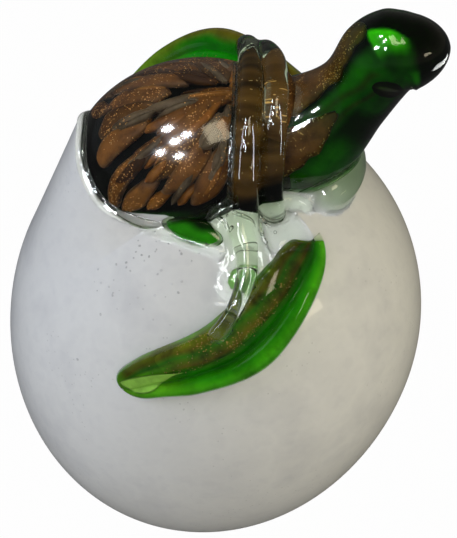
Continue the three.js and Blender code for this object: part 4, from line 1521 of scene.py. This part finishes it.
elevation = math.radians(CAMERA_ELEVATION)
roll = math.radians(CAMERA_ROLL)
back = np.array([0, -math.cos(elevation), math.sin(elevation)])
level = np.array([1.0, 0, 0])
right = level * math.cos(roll) + np.cross(back, level) * math.sin(roll)
up = np.cross(back, right)
eye_point = CAMERA_PIVOT + back * CAMERA_DISTANCE
view_back = unit(eye_point - (CAMERA_PIVOT + right * AIM_RIGHT + up * AIM_UP))
view_right = unit(np.cross(up, view_back))
view_up = np.cross(view_back, view_right)

camera_data = bpy.data.cameras.new("camera")
camera_data.sensor_width = SENSOR
camera_data.lens = CAMERA_FOCAL_PIXELS / IMAGE_HEIGHT * SENSOR
camera_data.clip_start = 0.01
camera = bpy.data.objects.new("camera", camera_data)
bpy.context.scene.collection.objects.link(camera)
camera_rows = np.column_stack([view_right, view_up, view_back, eye_point * MM])
camera.matrix_world = Matrix(np.vstack([camera_rows, (0, 0, 0, 1)]).tolist())
bpy.context.scene.camera = camera

# Floor and surroundings: white for the camera, a dim room in reflections

FLOOR_HALF = 3.0
FLOOR_DROP = 0.0002
FLOOR_GREY = (0.6, 0.59, 0.57)
FLOOR_IN_GLOSS = 0.07
FLOOR_GLOW = 0.985
ROOM_LOW = 0.15
ROOM_HIGH = 0.06
ROOM_LEFT = (0.94, 0.98, 1.05)
ROOM_RIGHT = (1.0, 0.92, 0.75)
SEEN_THROUGH = 0.75


def floor():
    mesh = bpy.data.meshes.new("floor")
    corners = [(-1, -1), (1, -1), (1, 1), (-1, 1)]
    mesh.from_pydata([(x * FLOOR_HALF, y * FLOOR_HALF, 0) for x, y in corners], [], [(0, 1, 2, 3)])
    made = bpy.data.objects.new("floor", mesh)
    bpy.context.scene.collection.objects.link(made)
    made.location.z = -FLOOR_DROP
    material = bpy.data.materials.new("floor_white")
    material.use_nodes = True
    graph = Graph(material.node_tree)
    graph.nodes.clear()
    path = graph.add("LightPath").outputs
    diffuse = graph.add("BsdfDiffuse", Color=FLOOR_GREY)
    glow = graph.add("Emission", Color=graph.mix(path["Is Glossy Ray"], WHITE, grey(FLOOR_IN_GLOSS)))
    seen = graph.math("MAXIMUM", path["Is Camera Ray"], path["Is Glossy Ray"])
    seen = graph.math("MAXIMUM", seen, path["Is Transmission Ray"])
    share = graph.math("MULTIPLY", seen, FLOOR_GLOW)
    graph.add("OutputMaterial", Surface=graph.mix_shaders(share, diffuse, glow))
    mesh.materials.append(material)


def surroundings():
    """The room is darker above, cool on the left and warm on the right."""
    world = bpy.data.worlds.new("world")
    bpy.context.scene.world = world
    world.use_nodes = True
    graph = Graph(world.node_tree)
    graph.nodes.clear()
    way = graph.add("SeparateXYZ", Vector=graph.add("TexCoord").outputs["Generated"]).outputs
    rise = graph.ramp(way["Z"], (0.1, grey(ROOM_LOW)), (0.75, grey(ROOM_HIGH)))
    across = graph.add("MapRange", Value=way["X"], From_Min=-0.8, From_Max=0.8).outputs["Result"]
    tint = graph.ramp(across, (0.0, ROOM_LEFT), (1.0, ROOM_RIGHT))
    room = graph.add("Background", Color=graph.multiply(rise, tint))
    white = graph.add("Background", Color=WHITE)
    path = graph.add("LightPath").outputs
    through = graph.math("MULTIPLY", path["Is Transmission Ray"], SEEN_THROUGH)
    seen = graph.math("MAXIMUM", path["Is Camera Ray"], through)
    graph.add("OutputWorld", Surface=graph.mix_shaders(seen, room, white))


floor()
surroundings()

# Lamps: some show only as reflections, the sky lamps only light the shapes

LAMP_DISTANCE = 0.8
SKY_DISTANCE = 0.9
CLUSTER_DISTANCE = 0.7
CLUSTER_SIZE = 0.09
CLUSTER_COOL = (0.92, 0.95, 1.0)
# Small bright lamps: places aside and up in the cluster, and brightness
CLUSTER_SPOTS = [
    (0.0, 0.0, 90.0), (0.045, 0.163, 60.0), (-0.267, 0.147, 60.0), (-0.05, -0.268, 60.0), (0.24, -0.22, 60.0),
]
WINDOW_WAY = (0.16, -0.32, 0.93)
WINDOW_WARM = (1.0, 0.86, 0.6)
GLINT_PLACE = (121.0, 8.0, 47.0)


def receivers(name, pieces, state):
    """A collection of the pieces that a lamp lights or spares."""
    group = bpy.data.collections.new(name)
    for made in pieces:
        group.objects.link(made)
    for link in group.collection_objects:
        link.light_linking.link_state = state
    return group


def lamp(name, direction, distance, size, radiance, colour, linked=None, sky=False):
    """A soft lamp in a direction from the turtle, round if it has one size, of a given brightness."""
    data = bpy.data.lights.new(name, "AREA")
    data.size = size[0]
    if len(size) == 1:
        data.shape = "DISK"
        area = math.pi * size[0] ** 2 / 4
    else:
        data.shape = "RECTANGLE"
        data.size_y = size[1]
        area = size[0] * size[1]
    data.energy = radiance * math.pi * area
    data.color = colour
    made = bpy.data.objects.new(name, data)
    bpy.context.scene.collection.objects.link(made)
    towards = Vector(unit(direction))
    made.location = Vector(turtle.origin * MM) + towards * distance
    made.rotation_euler = towards.to_track_quat("Z", "Y").to_euler()
    made.visible_camera = False
    made.visible_glossy = not sky
    made.visible_diffuse = sky
    made.visible_transmission = False
    if linked:
        made.light_linking.receiver_collection = linked


cluster = unit((-0.37, -0.41, 0.83))
cluster_x = unit(np.cross((0, 0, 1), cluster))
cluster_y = np.cross(cluster, cluster_x)
matt = receivers("without_spots", [egg_piece, collar_piece, crescent_piece, *blade_pieces], "EXCLUDE")
for k, (aside, rise, radiance) in enumerate(CLUSTER_SPOTS):
    towards = cluster + aside * cluster_x + rise * cluster_y
    lamp(f"cluster_{k}", towards, CLUSTER_DISTANCE, (CLUSTER_SIZE,), radiance, CLUSTER_COOL, matt)

not_blades = receivers("without_window", blade_pieces, "EXCLUDE")
only_blades = receivers("blades", blade_pieces, "INCLUDE")
lamp("window_high", WINDOW_WAY, LAMP_DISTANCE, (0.26, 0.34), 7.0, WINDOW_WARM, not_blades)
lamp("window_slim", WINDOW_WAY, LAMP_DISTANCE, (0.09, 0.3), 7.0, WINDOW_WARM, only_blades)
lamp("window_low", (0.79, -0.52, 0.31), LAMP_DISTANCE, (0.2, 0.07), 7.0, (1.0, 0.86, 0.62), not_blades)

glint_way = np.array(GLINT_PLACE) - turtle.origin
glint_far = float(np.linalg.norm(glint_way)) * MM
head = receivers("head", [head_piece], "INCLUDE")
lamp("beak_glint", glint_way, glint_far, (0.075, 0.03), 8.0, (0.97, 1.0, 0.97), head)

straps = receivers("straps", [clear_pieces["strap_rear"], clear_pieces["strap_front"]], "INCLUDE")
for name, aside in (("strip_left", -0.9), ("strip_right", 0.9)):
    lamp(name, (aside, -0.35, 0.3), LAMP_DISTANCE, (0.1, 1.2), 15.0, (0.97, 0.98, 1.0), straps)

lamp("sky_left", (-0.9, -0.12, 0.45), SKY_DISTANCE, (0.8, 0.8), 2.27, (0.9, 0.95, 1.06), sky=True)
lamp("sky_right", (0.86, -0.18, 0.5), SKY_DISTANCE, (0.8, 0.8), 1.88, (1.0, 0.91, 0.68), sky=True)
lamp("sky_front", (0.0, -0.85, 0.5), SKY_DISTANCE, (0.7, 0.7), 1.15, (1.0, 0.98, 0.94), sky=True)

scene = bpy.context.scene
scene.view_settings.view_transform = "Standard"
scene.cycles.max_bounces = 24
scene.cycles.transmission_bounces = 20
